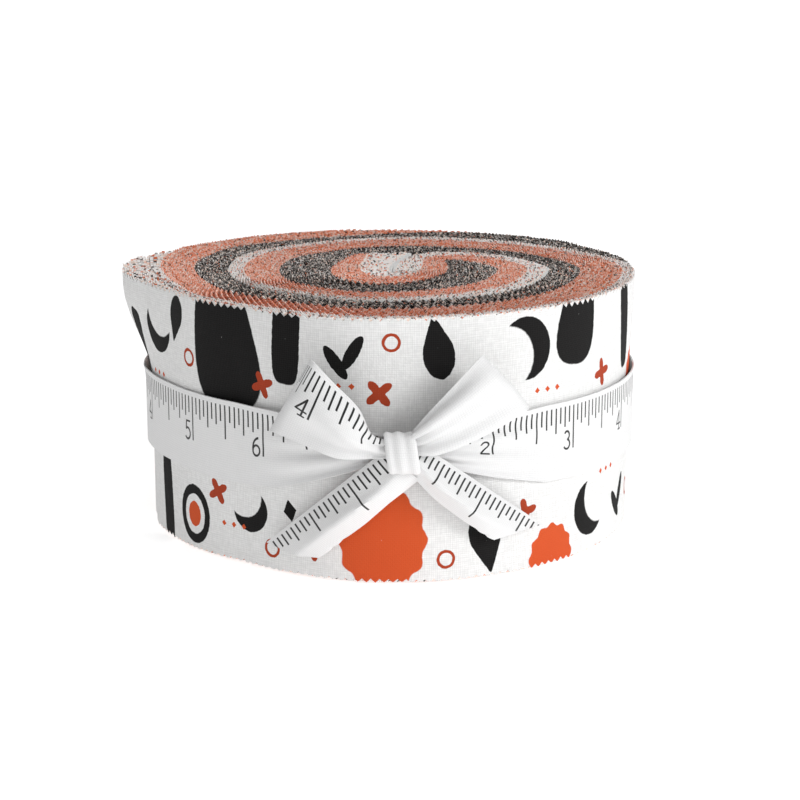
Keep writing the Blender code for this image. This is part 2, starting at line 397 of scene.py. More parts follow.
# %% The turns of the stack
WINDING = [
    # turns, face_radius, rust_radius, white_radius, back_radius
    (0.000, 24.6, 31.0, 38.6, 44.0),
    (0.125, 24.9, 30.9, 39.0, 43.4),
    (0.250, 25.0, 31.0, 38.6, 42.0),
    (0.375, 21.5, 27.1, 35.1, 38.5),
    (0.500, 18.5, 24.9, 34.1, 38.0),
    (0.625, 20.5, 29.1, 39.7, 44.5),
    (0.750, 26.0, 36.9, 47.8, 52.0),
    (0.833, 31.0, 41.4, 51.8, 57.0),
    (0.917, 41.0, 47.2, 57.4, 61.0),
    (1.000, 44.0, 51.9, 62.9, 66.4),
    (1.125, 43.5, 51.6, 62.4, 65.5),
    (1.250, 42.0, 51.2, 61.6, 65.0),
    (1.375, 38.5, 46.3, 55.2, 59.1),
    (1.440, 37.6, 45.3, 53.2, 60.0),
    (1.500, 38.0, 46.6, 55.2, 67.0),
    (1.530, 39.4, 48.0, 57.5, 74.5),
    (1.560, 41.0, 49.5, 60.5, 84.0),
    (1.625, 44.5, 53.5, 68.5, 88.0),
    (1.750, 52.0, 58.6, 96.0, 115.0),
    (1.833, 57.0, 69.6, 96.0, 115.0),
    (1.917, 61.2, 75.5, 98.0, 115.0),
    (2.000, 64.4, 77.0, 99.0, 116.0),
    (2.125, 65.0, 78.0, 99.0, 116.0),
]
RUST_FROM = 0.35
WHITE_FROM = 0.76
CURVE_STEPS = 14
LAYER_GAP = 1.0 / (2 * STRIP_COUNT)
print("turns after the tuck:", WINDING[-1][0])

# %% [markdown]
# ## From places to smooth layers
# A layer's places come from both tables, by its share of the stack's depth. A curve that passes through
# every place without a kink joins them. Reading it at even steps keeps the cloth's length true, so each
# strip's end falls where its length runs out.


# %% Places of a layer
def layer_places(share):
    """Where one layer passes through each row of the two tables, as x and y."""
    places = []
    marks = (0.0, RUST_FROM, WHITE_FROM, 1.0)
    for face_x, face_y, back_x, back_y, rust_from, white_from in TUCKED_START:
        depth = np.interp(share, marks, (0.0, rust_from, white_from, 1.0))
        places.append((face_x + (back_x - face_x) * depth, face_y + (back_y - face_y) * depth))
    for turns, *radii in WINDING:
        turn = -2.0 * math.pi * turns
        radius = float(np.interp(share, marks, radii))
        places.append((radius * math.cos(turn), radius * math.sin(turn)))
    return np.array(places)


def stations(share):
    """A layer's places with the room it has there, as x, y and the distance to the next layer."""
    near = settle(layer_places(share - LAYER_GAP / 2), STRIP_WIDTH)
    far = settle(layer_places(share + LAYER_GAP / 2), STRIP_WIDTH)
    room = np.linalg.norm(far - near, axis=1, keepdims=True)
    return np.hstack([layer_places(share), room])


print("a middle layer has", round(float(stations(0.5)[:, 2].mean()), 2), "mm of room")


# %% Curves
def smooth_curve(points, steps):
    """A Catmull-Rom curve through points of any dimension."""
    before = np.vstack([2 * points[0] - points[1], points[:-1]])
    after = np.vstack([points[1:], 2 * points[-1] - points[-2]])
    chord = points[1:] - points[:-1]
    length = np.linalg.norm(chord, axis=1)
    slope = after - before
    slope /= np.maximum(np.linalg.norm(slope, axis=1, keepdims=True), 1e-9)
    out = []
    for i in range(len(points) - 1):
        t = np.linspace(0.0, 1.0, steps, endpoint=False)[:, None]
        pull = length[i]
        a = 2 * t**3 - 3 * t**2 + 1
        b = t**3 - 2 * t**2 + t
        c = -2 * t**3 + 3 * t**2
        d = t**3 - t**2
        out.append(a * points[i] + b * slope[i] * pull + c * points[i + 1] + d * slope[i + 1] * pull)
    out.append(points[-1:])
    return np.vstack(out)


def distance_along(line):
    steps = np.linalg.norm(np.diff(line, axis=0), axis=1)
    return np.concatenate([[0.0], np.cumsum(steps)])


def resample(curve, spacing, length, start=0.0):
    """Points every spacing along a curve's plan, from start for the given length."""
    gone = distance_along(curve[:, :2])
    marks = start + np.arange(int(length / spacing) + 1) * spacing
    marks = marks[marks <= gone[-1]]
    return np.stack([np.interp(marks, gone, line) for line in curve.T], axis=1)


sample = resample(smooth_curve(stations(0.5), CURVE_STEPS), 1.0, STRIP_LENGTH / 2)
print("a middle strip ends", round(math.degrees(math.atan2(sample[-1][1], sample[-1][0]))), "degrees round")

# %% [markdown]
# ## Building cloth meshes
# Every sheet is a thin closed solid: two faces a cloth's thickness apart, joined round the rim. A Solidify
# modifier could do that, but one helper that builds both faces from a grid of middle points lets each side
# have its own print. The UV map keeps the cloth's own length and width in millimetres, so prints and weave
# lie on it at their real scale.

# %% Faces of a sheet
UV_MAP = "cloth"


def grid_faces(rows, columns, offset, flip):
    row, col = np.meshgrid(np.arange(rows - 1), np.arange(columns - 1), indexing="ij")
    a = (offset + row * columns + col).ravel()
    quads = np.stack([a, a + 1, a + 1 + columns, a + columns], axis=1)
    return quads[:, ::-1] if flip else quads


def rim_faces(rows, columns, behind):
    edge = np.concatenate([
        np.arange(columns),
        np.arange(1, rows) * columns + columns - 1,
        (rows - 1) * columns + np.arange(columns - 2, -1, -1),
        np.arange(rows - 2, 0, -1) * columns,
    ])
    after = np.roll(edge, -1)
    return np.stack([edge, edge + behind, after + behind, after], axis=1)


print("3 rows of 4 points make", len(grid_faces(3, 4, 0, False)), "faces")
print("their rim makes", len(rim_faces(3, 4, 12)), "more")


# %% Mesh from quads
def quad_mesh(name, vertices, quads, corner_uv):
    mesh = bpy.data.meshes.new(name)
    mesh.vertices.add(len(vertices))
    mesh.vertices.foreach_set("co", (vertices * MM).astype(np.float32).ravel())
    mesh.loops.add(quads.size)
    mesh.loops.foreach_set("vertex_index", quads.astype(np.int32).ravel())
    mesh.polygons.add(len(quads))
    mesh.polygons.foreach_set("loop_start", (np.arange(len(quads)) * 4).astype(np.int32))
    layer = mesh.uv_layers.new(name=UV_MAP)
    layer.uv.foreach_set("vector", corner_uv.astype(np.float32).ravel())
    mesh.update(calc_edges=True)
    mesh.validate()
    return mesh


def grid_normals(grid):
    along = np.gradient(grid, axis=1)
    across = np.gradient(grid, axis=0)
    normals = np.cross(along, across)
    return normals / np.maximum(np.linalg.norm(normals, axis=2, keepdims=True), 1e-9)


# %% Cloth sheet
SHARP_ANGLE = 50.0


def cloth_sheet(name, grid, uv, thickness, material, normals=None, back_uv=None):
    """A closed sheet about a grid of middle points, with rows across the cloth and columns along it."""
    rows, columns = grid.shape[:2]
    if normals is None:
        normals = grid_normals(grid)
    half = np.broadcast_to(np.asarray(thickness, float) / 2.0, (rows, columns))[:, :, None]
    front = (grid + normals * half).reshape(-1, 3)
    back = (grid - normals * half).reshape(-1, 3)
    behind = rows * columns
    front_quads = grid_faces(rows, columns, 0, False)
    back_quads = grid_faces(rows, columns, behind, True)
    rim_quads = rim_faces(rows, columns, behind)
    front_uv = uv.reshape(-1, 2)
    back_uv = front_uv if back_uv is None else back_uv.reshape(-1, 2)
    corner_uv = np.concatenate([
        front_uv[front_quads.ravel()],
        back_uv[back_quads.ravel() - behind],
        back_uv[rim_quads.ravel() % behind],
    ])
    quads = np.vstack([front_quads, back_quads, rim_quads])
    mesh = quad_mesh(name, np.vstack([front, back]), quads, corner_uv)
    mesh.shade_smooth()
    mesh.set_sharp_from_angle(angle=math.radians(SHARP_ANGLE))
    mesh.materials.append(material)
    return put(name, mesh)


# %% [markdown]
# ## Cloth material
# Cotton and ribbon are both rough, with a faint sheen from their fibres. Prints and weave are laid by where
# a point is on the flat cloth, in millimetres. Laid by the point's place in space, they would smear round
# the folds.


# %% Cloth material
def cloth_material(name, roughness):
    material = bpy.data.materials.new(name)
    material.use_nodes = True
    tree = material.node_tree
    shader = tree.nodes["Principled BSDF"]
    shader.inputs["Roughness"].default_value = roughness
    shader.inputs["Specular IOR Level"].default_value = 0.08
    shader.inputs["Sheen Weight"].default_value = 0.04
    shader.inputs["Sheen Roughness"].default_value = 0.6
    where = add_node(tree, "UVMap", uv_map=UV_MAP).outputs["UV"]
    return material, tree, shader, where


# %% [markdown]
# ## Weave
# Quilting cotton is a plain weave: threads pass over and under by turns. Real threads would take millions
# of faces, so crossing two sine waves gives that over and under. The group hands out its height for a Bump
# node, a mask of the gaps between threads, and slubs where a thread is thicker. The printed cotton and the
# ribbon darken that gap mask as painted shade.

# %% Weave group
ORIGIN = (0.0, 0.0, 0.0)
THREAD_GAP = (0.05, 0.45)
SLUB_STRETCHES = ((0.35, 2.6, 1.0), (2.6, 0.35, 1.0))
SLUB_EDGE = (0.75, 1.3)


def make_weave_group():
    tree, entry, leave = new_group("plain_weave", {
        "Cloth": ORIGIN, "Thread Along": 0.52, "Thread Across": 0.50,
    }, {"Height": 1, "Gap": 1, "Slub": 1})
    parts = split(tree, entry["Cloth"])
    along = divide(tree, times(tree, parts["X"], math.pi), entry["Thread Along"])
    across = divide(tree, times(tree, parts["Y"], math.pi), entry["Thread Across"])
    warp = math_node(tree, "ABSOLUTE", math_node(tree, "SINE", along))
    weft = math_node(tree, "ABSOLUTE", math_node(tree, "SINE", across))
    turn = times(tree, math_node(tree, "SINE", along), math_node(tree, "SINE", across))
    over = math_node(tree, "MULTIPLY_ADD", turn, 0.25, 0.5)
    low = math_node(tree, "MINIMUM", warp, weft)
    tree.links.new(math_node(tree, "MULTIPLY_ADD", low, 0.5, over), leave["Height"])
    # Materials darken this gap mask as painted shade between threads.
    tree.links.new(step_down(tree, low, *THREAD_GAP), leave["Gap"])
    slub = None
    for stretch in SLUB_STRETCHES:
        drawn = vector_node(tree, "MULTIPLY", entry["Cloth"], stretch)
        thread = add_node(tree, "TexNoise", {"Vector": drawn, "Scale": 1.0, "Detail": 1.0})
        slub = thread.outputs["Fac"] if slub is None else math_node(tree, "ADD", slub, thread.outputs["Fac"])
    tree.links.new(step_up(tree, slub, *SLUB_EDGE), leave["Slub"])
    return tree


PLAIN_WEAVE = make_weave_group()
print("node group:", PLAIN_WEAVE.name)

# %% [markdown]
# ## Scattered print
# Most of the roll shows only the cut edges of its prints, so a strip there reads as a ground colour flecked
# with a few inks. Noise cut off at a share gives flecks of about the right size and cover, and drawing
# whole motifs there would be lost work.

# %% Scattered print group
INK = (0.0, 0.0, 0.0, 1.0)
INK_ORDER = ("First", "Second", "Third")
ELSEWHERE = (311.0, 97.0, 13.0)
FLECK_EDGE = 0.025


def make_fleck_group():
    tree, entry, leave = new_group("flecked_print", {
        "Cloth": ORIGIN, "Ground": PLAIN_WHITE, "First Ink": INK, "Second Ink": INK,
        "Third Ink": INK, "First Cut": 0.55, "Second Cut": 0.6, "Third Cut": 0.6, "Size": 1.5,
    }, {"Colour": 4})
    scale = divide(tree, 1.0, entry["Size"])
    colour = entry["Ground"]
    for order, name in enumerate(INK_ORDER):
        moved = vector_node(tree, "ADD", entry["Cloth"], [order * step for step in ELSEWHERE])
        patch = add_node(tree, "TexNoise", {"Vector": moved, "Scale": scale, "Detail": 1.0})
        cut = entry[name + " Cut"]
        mask = step_up(tree, patch.outputs["Fac"], cut, math_node(tree, "ADD", cut, FLECK_EDGE))
        colour = mix_colour(tree, mask, colour, entry[name + " Ink"])
    tree.links.new(colour, leave["Colour"])
    return tree


FLECKED_PRINT = make_fleck_group()
print("node group:", FLECKED_PRINT.name)

# %% [markdown]
# ## Frayed edge and painted tip light
# Pinking cuts through the dyed threads and shows their undyed middles, so the tips of the teeth are paler.
# Only the tips are paled and the valleys are not, so this paleness is partly that real undyed edge and partly
# painted light on the tips. The distance to the nearer edge, broken up by noise, makes a mask for that. Loose
# threads on every tooth would be too small to see.

# %% Fray and painted tip light group
TORN_EDGE = (0.48, 0.58)
TIP_LIGHT_EDGE = (0.18, 0.56)


def make_fray_and_tip_light_group():
    tree, entry, leave = new_group("fray_and_painted_tip_light", {
        "Cloth": ORIGIN, "Width": STRIP_WIDTH, "Depth": 1.8,
    }, {"Fray And Tip Light": 1})
    across = split(tree, entry["Cloth"])["Y"]
    other = minus(tree, entry["Width"], across)
    near = divide(tree, math_node(tree, "MINIMUM", across, other), entry["Depth"])
    ragged = add_node(tree, "TexNoise", {"Vector": entry["Cloth"], "Scale": 1.3, "Detail": 2.0})
    torn = step_up(tree, ragged.outputs["Fac"], *TORN_EDGE)
    # Keeping the pale to the tips and off the valleys is painted light on the tips.
    edge = step_down(tree, near, *TIP_LIGHT_EDGE)
    tree.links.new(times(tree, edge, torn), leave["Fray And Tip Light"])
    return tree


FRAY_AND_TIP_LIGHT = make_fray_and_tip_light_group()
print("node group:", FRAY_AND_TIP_LIGHT.name)

# %% [markdown]
# ## Printed shapes
# The outermost strip shows its whole print, so its motifs are drawn. A painted picture would blur close up,
# so they are sums on the cloth's own millimetres that stay sharp at any size. One group makes them all: a
# rounded or pointed oval that can have petals, a narrower end, a hole, or a bite out of one side.

# %% Printed shape group
SHAPE_SOFT = 0.015
BITE_SOFT = 0.03
NARROWEST = 0.05


def make_shape_group():
    tree, entry, leave = new_group("printed_shape", {
        "Cloth": ORIGIN, "Centre": ORIGIN, "Half Size": (1.0, 1.0, 1.0), "Turn": 0.0, "Power": 2.0,
        "Petals": 0.0, "Petal Depth": 0.0, "Taper": 0.0, "Hole": 0.0, "Bite": 9.0,
    }, {"Mask": 1})
    here = vector_node(tree, "SUBTRACT", entry["Cloth"], entry["Centre"])
    turned = add_node(tree, "VectorRotate", {"Vector": here, "Angle": entry["Turn"]}, rotation_type="Z_AXIS")
    parts = split(tree, vector_node(tree, "DIVIDE", turned.outputs[0], entry["Half Size"]))
    taper = times(tree, entry["Taper"], -1.0)
    narrow = math_node(tree, "MULTIPLY_ADD", parts["Y"], taper, 1.0)
    x = divide(tree, parts["X"], math_node(tree, "MAXIMUM", narrow, NARROWEST))
    y = parts["Y"]

    def reach(x, y):
        wide = math_node(tree, "POWER", math_node(tree, "ABSOLUTE", x), entry["Power"])
        tall = math_node(tree, "POWER", math_node(tree, "ABSOLUTE", y), entry["Power"])
        total = math_node(tree, "ADD", wide, tall)
        return math_node(tree, "POWER", total, divide(tree, 1.0, entry["Power"]))

    angle = math_node(tree, "ARCTAN2", y, x)
    wave = math_node(tree, "COSINE", times(tree, angle, entry["Petals"]))
    edge = math_node(tree, "MULTIPLY_ADD", wave, entry["Petal Depth"], 1.0)
    whole = divide(tree, reach(x, y), edge)
    bitten = reach(minus(tree, x, entry["Bite"]), y)
    inside = step_down(tree, whole, 1.0 - SHAPE_SOFT, 1.0 + SHAPE_SOFT)
    hole = step_up(tree, minus(tree, whole, entry["Hole"]), -SHAPE_SOFT, SHAPE_SOFT)
    kept = step_up(tree, bitten, 1.0 - BITE_SOFT, 1.0 + BITE_SOFT)
    mask = times(tree, times(tree, inside, hole), kept)
    tree.links.new(mask, leave["Mask"])
    return tree


PRINTED_SHAPE = make_shape_group()
print("node group:", PRINTED_SHAPE.name)

# %% [markdown]
# ## The strip fabrics
# Nine prints make up three bands of colour: near-black, rust and white. Nine separate materials would
# repeat the same nodes, so one recipe makes them all from a table of colours and sizes.

# %% Strip colours and flecks
BLACK = (0.010, 0.009, 0.009)
GREY = (0.10, 0.085, 0.08)
BROWN = (0.10, 0.035, 0.022)
RUST = (0.66, 0.18, 0.085)
ORANGE = (0.76, 0.23, 0.12)
PEACH = (0.86, 0.44, 0.32)
WHITE = (0.88, 0.86, 0.85)
CREAM = (0.86, 0.68, 0.58)
FABRICS = [
    # name, ground, first_ink, second_ink, third_ink, first_cut, second_cut, third_cut, fleck_size,
    # fray_and_tip_light
    ("night_plain", BLACK, GREY, CREAM, RUST, 0.50, 0.60, 0.68, 0.9, 0.6),
    ("night_spot", BLACK, CREAM, GREY, RUST, 0.58, 0.56, 0.66, 1.0, 0.7),
    ("night_vine", GREY, BLACK, WHITE, BROWN, 0.48, 0.59, 0.62, 1.2, 0.6),
    ("rust_plain", RUST, PEACH, BROWN, CREAM, 0.54, 0.60, 0.63, 0.9, 0.7),
    ("rust_spot", ORANGE, CREAM, BLACK, PEACH, 0.60, 0.63, 0.56, 1.0, 0.8),
    ("rust_vine", ORANGE, PEACH, CREAM, BROWN, 0.54, 0.62, 0.60, 1.2, 0.7),
    ("peach_fleck", PEACH, RUST, CREAM, BLACK, 0.50, 0.60, 0.64, 0.9, 0.7),
    ("white_spot", WHITE, BLACK, ORANGE, CREAM, 0.60, 0.58, 0.54, 1.0, 0.5),
    ("white_vine", WHITE, RUST, BLACK, GREY, 0.57, 0.61, 0.59, 1.3, 0.5),
]
BAND_FABRICS = {
    "black": ("night_plain", "night_spot", "night_vine", "night_spot", "night_plain"),
    "rust": ("rust_plain", "rust_spot", "peach_fleck", "rust_vine", "rust_spot"),
    "white": ("white_spot", "white_vine"),
}
print("bands:", {band: len(set(kinds)) for band, kinds in BAND_FABRICS.items()})

# %% Strip fabrics
# Undyed thread colour, also used as painted light on the teeth's tips.
UNDYED_AND_TIP_LIGHT = (0.88, 0.82, 0.77)
COTTON_ROUGHNESS = 0.95
COTTON_RELIEF = 0.0001


def raise_weave(tree, shader, weave, strength, distance):
    bump = add_node(tree, "Bump", {"Height": weave["Height"], "Strength": strength, "Distance": distance})
    tree.links.new(bump.outputs["Normal"], shader.inputs["Normal"])


def strip_material(name, ground, *looks):
    inks, cuts, (size, fray_and_tip_light_share) = looks[:3], looks[3:6], looks[6:]
    material, tree, shader, where = cloth_material(name, COTTON_ROUGHNESS)
    inputs = {"Cloth": where, "Ground": (*ground, 1.0), "Size": size}
    for order, ink, cut in zip(INK_ORDER, inks, cuts):
        inputs[order + " Ink"] = (*ink, 1.0)
        inputs[order + " Cut"] = cut
    flecks = use_group(tree, FLECKED_PRINT, inputs)
    edge_pale_and_tip_light = use_group(tree, FRAY_AND_TIP_LIGHT, {"Cloth": where})
    # The pale edge is partly undyed cut threads and partly painted light on the teeth's tips.
    pale = times(tree, edge_pale_and_tip_light["Fray And Tip Light"], fray_and_tip_light_share)
    tree.links.new(mix_colour(tree, pale, flecks["Colour"], (*UNDYED_AND_TIP_LIGHT, 1.0)), shader.inputs["Base Color"])
    weave = use_group(tree, PLAIN_WEAVE, {"Cloth": where})
    raise_weave(tree, shader, weave, 0.4, COTTON_RELIEF)
    return material


materials = {row[0]: strip_material(*row) for row in FABRICS}
print("strip fabrics:", len(materials))

# %% [markdown]
# ## The layers of a strip
# Each strip is one sheet. Its middle is the fold at the core, and its two halves run outward side by side, as
# two layers. Pinking shears leave teeth about 2 mm long, cut through the whole pile at once. The teeth of all
# layers line up at the first turn and drift apart on either side of it, which draws ridges and herringbones
# on the top of the roll. Each layer fluffs out to fill most of the room that it has.

# %% The layers of a strip
CLOTH_THIN = 0.15
CLOTH_THICK = 0.80
ROOM_FILLED = 0.88
TOOTH = 2.12
TOOTH_DEPTH = 0.95
HALF_TOOTH = TOOTH / 2.0
OUTER_SHARE = 1.0 - LAYER_GAP / 2.0
OUTER_START = 2.0


def layer_plan(share, length, start):
    """A layer's points from the fold outward, set so that all layers' teeth line up at the first turn."""
    curve = smooth_curve(stations(share), CURVE_STEPS)
    tucked = curve[: len(TUCKED_START) * CURVE_STEPS + 1, :2]
    to_first_turn = distance_along(tucked)[-1]
    return resample(curve, HALF_TOOTH, length, start + (to_first_turn - start) % TOOTH)


outer_plan = layer_plan(OUTER_SHARE, STRIP_LENGTH / 2, OUTER_START)[::-1]
print("the outermost layer has", len(outer_plan) // 2, "teeth")

# %% [markdown]
# ## The print on the outermost strip
# The strip that faces out has black shapes and orange ones on white. They are laid out by where they fall
# round the wall, with the angle measured round the roll and the height from its foot, because that is where
# they are seen. Some run off the strip, as they do when a larger print is cut into strips.

# %% Inks and shapes
INKS = {"black": (0.0075, 0.007, 0.007), "rust": (0.38, 0.05, 0.018), "orange": (0.60, 0.085, 0.022)}
SHAPES = {
    # name: what differs from a plain oval
    "oval": {},
    "diamond": {"Power": 1.0},
    "slab": {"Power": 4.0},
    "paddle": {"Power": 2.6, "Taper": 0.28},
    "drop": {"Power": 1.6, "Taper": 0.55},
    "half_moon": {"Bite": 0.75},
    "bloom": {"Petals": 12.0, "Petal Depth": 0.045},
    "flower": {"Petals": 4.0, "Petal Depth": 0.42},
    "ring": {"Hole": 0.68},
}
print("shapes:", ", ".join(SHAPES))

# %% Motifs
MOTIFS = [
    # shape, ink, angle, height, half_width, half_height, turn
    ("slab", "black", 189.0, 47.0, 3.4, 8.5, -14.0),
    ("half_moon", "black", 203.0, 52.5, 6.0, 6.5, 70.0),
    ("drop", "black", 213.0, 56.5, 3.2, 6.0, 165.0),
    ("ring", "rust", 219.0, 48.0, 2.3, 2.3, 0.0),
    ("paddle", "black", 232.0, 55.0, 10.2, 18.0, 6.0),
    ("flower", "rust", 243.5, 45.0, 2.4, 2.4, 20.0),
    ("slab", "black", 250.5, 57.0, 3.8, 11.0, -4.0),
    ("oval", "black", 262.0, 52.5, 1.5, 4.6, 35.0),
    ("oval", "black", 265.6, 55.0, 1.5, 4.6, -30.0),
    ("diamond", "black", 258.5, 40.5, 1.8, 2.4, 0.0),
    ("flower", "rust", 271.0, 45.5, 2.6, 2.6, 40.0),
    ("ring", "rust", 273.5, 57.5, 2.2, 2.2, 0.0),
    ("drop", "black", 283.0, 56.0, 3.6, 7.6, 10.0),
    ("diamond", "black", 291.5, 46.0, 1.9, 2.6, 0.0),
    ("half_moon", "black", 303.0, 54.0, 7.2, 7.6, 200.0),
    ("ring", "rust", 297.0, 41.0, 2.3, 2.3, 0.0),
    ("paddle", "black", 318.0, 60.0, 6.6, 12.0, -8.0),
    ("flower", "rust", 328.0, 44.0, 2.5, 2.5, 10.0),
    ("slab", "black", 341.0, 54.0, 3.2, 12.0, 8.0),
    ("bloom", "orange", 352.0, 38.0, 7.0, 7.0, 0.0),
    ("slab", "black", 205.5, 10.0, 3.0, 13.0, 4.0),
    ("ring", "black", 219.5, 9.0, 6.2, 7.4, 0.0),
    ("oval", "orange", 219.5, 9.0, 2.6, 3.2, 0.0),
    ("flower", "rust", 228.5, 16.5, 2.4, 2.4, 30.0),
    ("half_moon", "black", 239.0, 13.5, 5.2, 5.6, 120.0),
    ("ring", "rust", 245.5, 5.5, 2.3, 2.3, 0.0),
    ("diamond", "black", 250.5, 15.5, 1.9, 2.7, 12.0),
    ("flower", "rust", 256.5, 7.5, 2.4, 2.4, 0.0),
    ("bloom", "orange", 271.5, 10.5, 10.5, 12.5, 0.0),
    ("ring", "rust", 285.0, 5.5, 2.3, 2.3, 0.0),
    ("drop", "black", 294.0, 9.0, 4.0, 8.0, 190.0),
    ("flower", "rust", 303.5, 14.5, 2.4, 2.4, 15.0),
    ("bloom", "orange", 311.0, 2.0, 7.0, 8.0, 0.0),
    ("half_moon", "black", 324.0, 11.0, 6.6, 7.0, 30.0),
    ("oval", "black", 338.0, 8.0, 1.6, 4.8, 40.0),
    ("oval", "black", 341.5, 10.5, 1.6, 4.8, -30.0),
    ("ring", "rust", 350.0, 9.0, 2.4, 2.4, 0.0),
]
DOT_ROWS = [
    # ink, angle, height, dots, pitch, half_size
    ("orange", 201.5, 41.0, 3, 3.2, 0.75),
    ("orange", 233.5, 9.0, 3, 3.2, 0.75),
    ("orange", 262.5, 47.0, 3, 3.2, 0.75),
    ("orange", 309.0, 43.5, 3, 3.2, 0.75),
    ("orange", 331.5, 19.0, 3, 3.2, 0.75),
]
print("motifs:", len(MOTIFS), "and dot rows:", len(DOT_ROWS))

# %% Places round the wall
outer_angle = np.degrees(np.unwrap(np.arctan2(outer_plan[:, 1], outer_plan[:, 0])))
print("the printed strip ends", round(outer_angle[0] % 360.0, 1), "degrees round")


def round_wall(angle):
    """Distance from the loose end to an angle round the wall, in millimetres."""
    turned = outer_angle - outer_angle[0] + outer_angle[0] % 360.0
    return float(np.interp(angle, turned, np.arange(len(turned)) * HALF_TOOTH))


# %% Printed cotton
PRINT_WANDER = 0.35
PRINT_THREADS = ((0.76, 0.76, 0.755, 1.0), (0.86, 0.86, 0.855, 1.0))
# Painted shade in the gaps between threads: its colour, then how much of it.
PRINT_GAP_SHADE = (0.55, 0.54, 0.53, 1.0)
PRINT_GAP_SHADE_SHARE = 0.42
INK_GAPS = (0.8, 0.8, 0.8, 1.0)
INK_GAP_SHARE = 0.012
PRINT_FRAY_AND_TIP_LIGHT = 0.5


def add_shape(tree, where, colour, shape, ink, along, height, half_width, half_height, turn):
    mask = use_group(tree, PRINTED_SHAPE, {
        "Cloth": where,
        "Centre": (along, height, 0.0),
        "Half Size": (half_width, half_height, 1.0),
        "Turn": math.radians(-turn),
        **SHAPES[shape],
    })["Mask"]
    return mix_colour(tree, mask, colour, (*INKS[ink], 1.0))


def printed_material():
    material, tree, shader, where = cloth_material("printed_motifs", COTTON_ROUGHNESS)
    shaken = add_node(tree, "TexNoise", {"Vector": where, "Scale": 0.9, "Detail": 2.0}).outputs["Color"]
    spread = vector_node(tree, "SUBTRACT", shaken, (0.5, 0.5, 0.5))
    small = vector_node(tree, "MULTIPLY", spread, (PRINT_WANDER, PRINT_WANDER, PRINT_WANDER))
    where_print = vector_node(tree, "ADD", where, small)
    weave = use_group(tree, PLAIN_WEAVE, {"Cloth": where})
    slubby = mix_colour(tree, weave["Slub"], *PRINT_THREADS)
    # Darkening the gaps between threads is painted shade.
    colour = mix_colour(tree, times(tree, weave["Gap"], PRINT_GAP_SHADE_SHARE), slubby, PRINT_GAP_SHADE)
    for shape, ink, angle, *size_and_turn in MOTIFS:
        colour = add_shape(tree, where_print, colour, shape, ink, round_wall(angle), *size_and_turn)
    for ink, angle, height, dots, pitch, half_size in DOT_ROWS:
        for dot in range(dots):
            along = round_wall(angle) + (dot - (dots - 1) / 2) * pitch
            sizes = (height, half_size, half_size, 0.0)
            colour = add_shape(tree, where_print, colour, "diamond", ink, along, *sizes)
    colour = mix_colour(tree, times(tree, weave["Gap"], INK_GAP_SHARE), colour, INK_GAPS)
    edge_pale_and_tip_light = use_group(tree, FRAY_AND_TIP_LIGHT, {"Cloth": where, "Depth": 0.5})
    # The pale edge is partly undyed cut threads and partly painted light on the teeth's tips.
    pale = times(tree, edge_pale_and_tip_light["Fray And Tip Light"], PRINT_FRAY_AND_TIP_LIGHT)
    tree.links.new(mix_colour(tree, pale, colour, (*UNDYED_AND_TIP_LIGHT, 1.0)), shader.inputs["Base Color"])
    raise_weave(tree, shader, weave, 0.5, COTTON_RELIEF)
    return material


materials["printed_motifs"] = printed_material()
print("printed cotton has", len(materials["printed_motifs"].node_tree.nodes), "nodes")

# %% [markdown]
# ## The strips
# A strip runs along its inner layer to the fold at the core, and out again along its outer layer. Its edges
# step in and out by a tooth, with a little lift for the whole strip and a little wear at each tooth, and
# near the wall it leans with the rim. Eighty wound layers would pass through each other in a cloth
# simulation, so each is laid on its own path.

# %% Strip sizes
MIXED = 1.1
MIXED_TURN = 2.4
LIFT_SPREAD = 0.11
WEAR_SPREAD = 0.06
FOOT_ROOM = 0.25
TOP_ROOM = 0.35
FABRIC_STRETCH = 1231.0
ROWS_INSIDE = (0.0, 36.0, 50.0, STRIP_WIDTH)
ROWS_NEAR_WALL = (0.0, 20.0, 36.0, 44.0, 50.0, 56.0, STRIP_WIDTH)
ROWS_OUTERMOST = np.linspace(0.0, STRIP_WIDTH, 19)
STRIPS_NEAR_WALL = 6
print("rows of a strip:", [len(rows) for rows in (ROWS_INSIDE, ROWS_NEAR_WALL, ROWS_OUTERMOST)])


# %% Strip helpers
def plan_normals(plan):
    along = np.gradient(plan, axis=0)
    along /= np.maximum(np.linalg.norm(along, axis=1, keepdims=True), 1e-9)
    return np.stack([along[:, 1], -along[:, 0]], axis=1)


def strip_fabric(index):
    """The strip's print by its place in the stack, with the bands' borders mixed a little."""
    share = (index + 0.5 + MIXED * math.sin(MIXED_TURN * index)) / STRIP_COUNT
    band = "black" if share < RUST_FROM else "rust" if share < WHITE_FROM else "white"
    kinds = BAND_FABRICS[band]
    return materials[kinds[index % len(kinds)]]


def row_heights(index):
    """Strips near the wall follow its flare, so they need more rows."""
    if index == STRIP_COUNT - 1:
        return ROWS_OUTERMOST
    return ROWS_NEAR_WALL if index >= STRIP_COUNT - STRIPS_NEAR_WALL else ROWS_INSIDE


print("the first strip is", strip_fabric(0).name, "and the last but one", strip_fabric(STRIP_COUNT - 2).name)


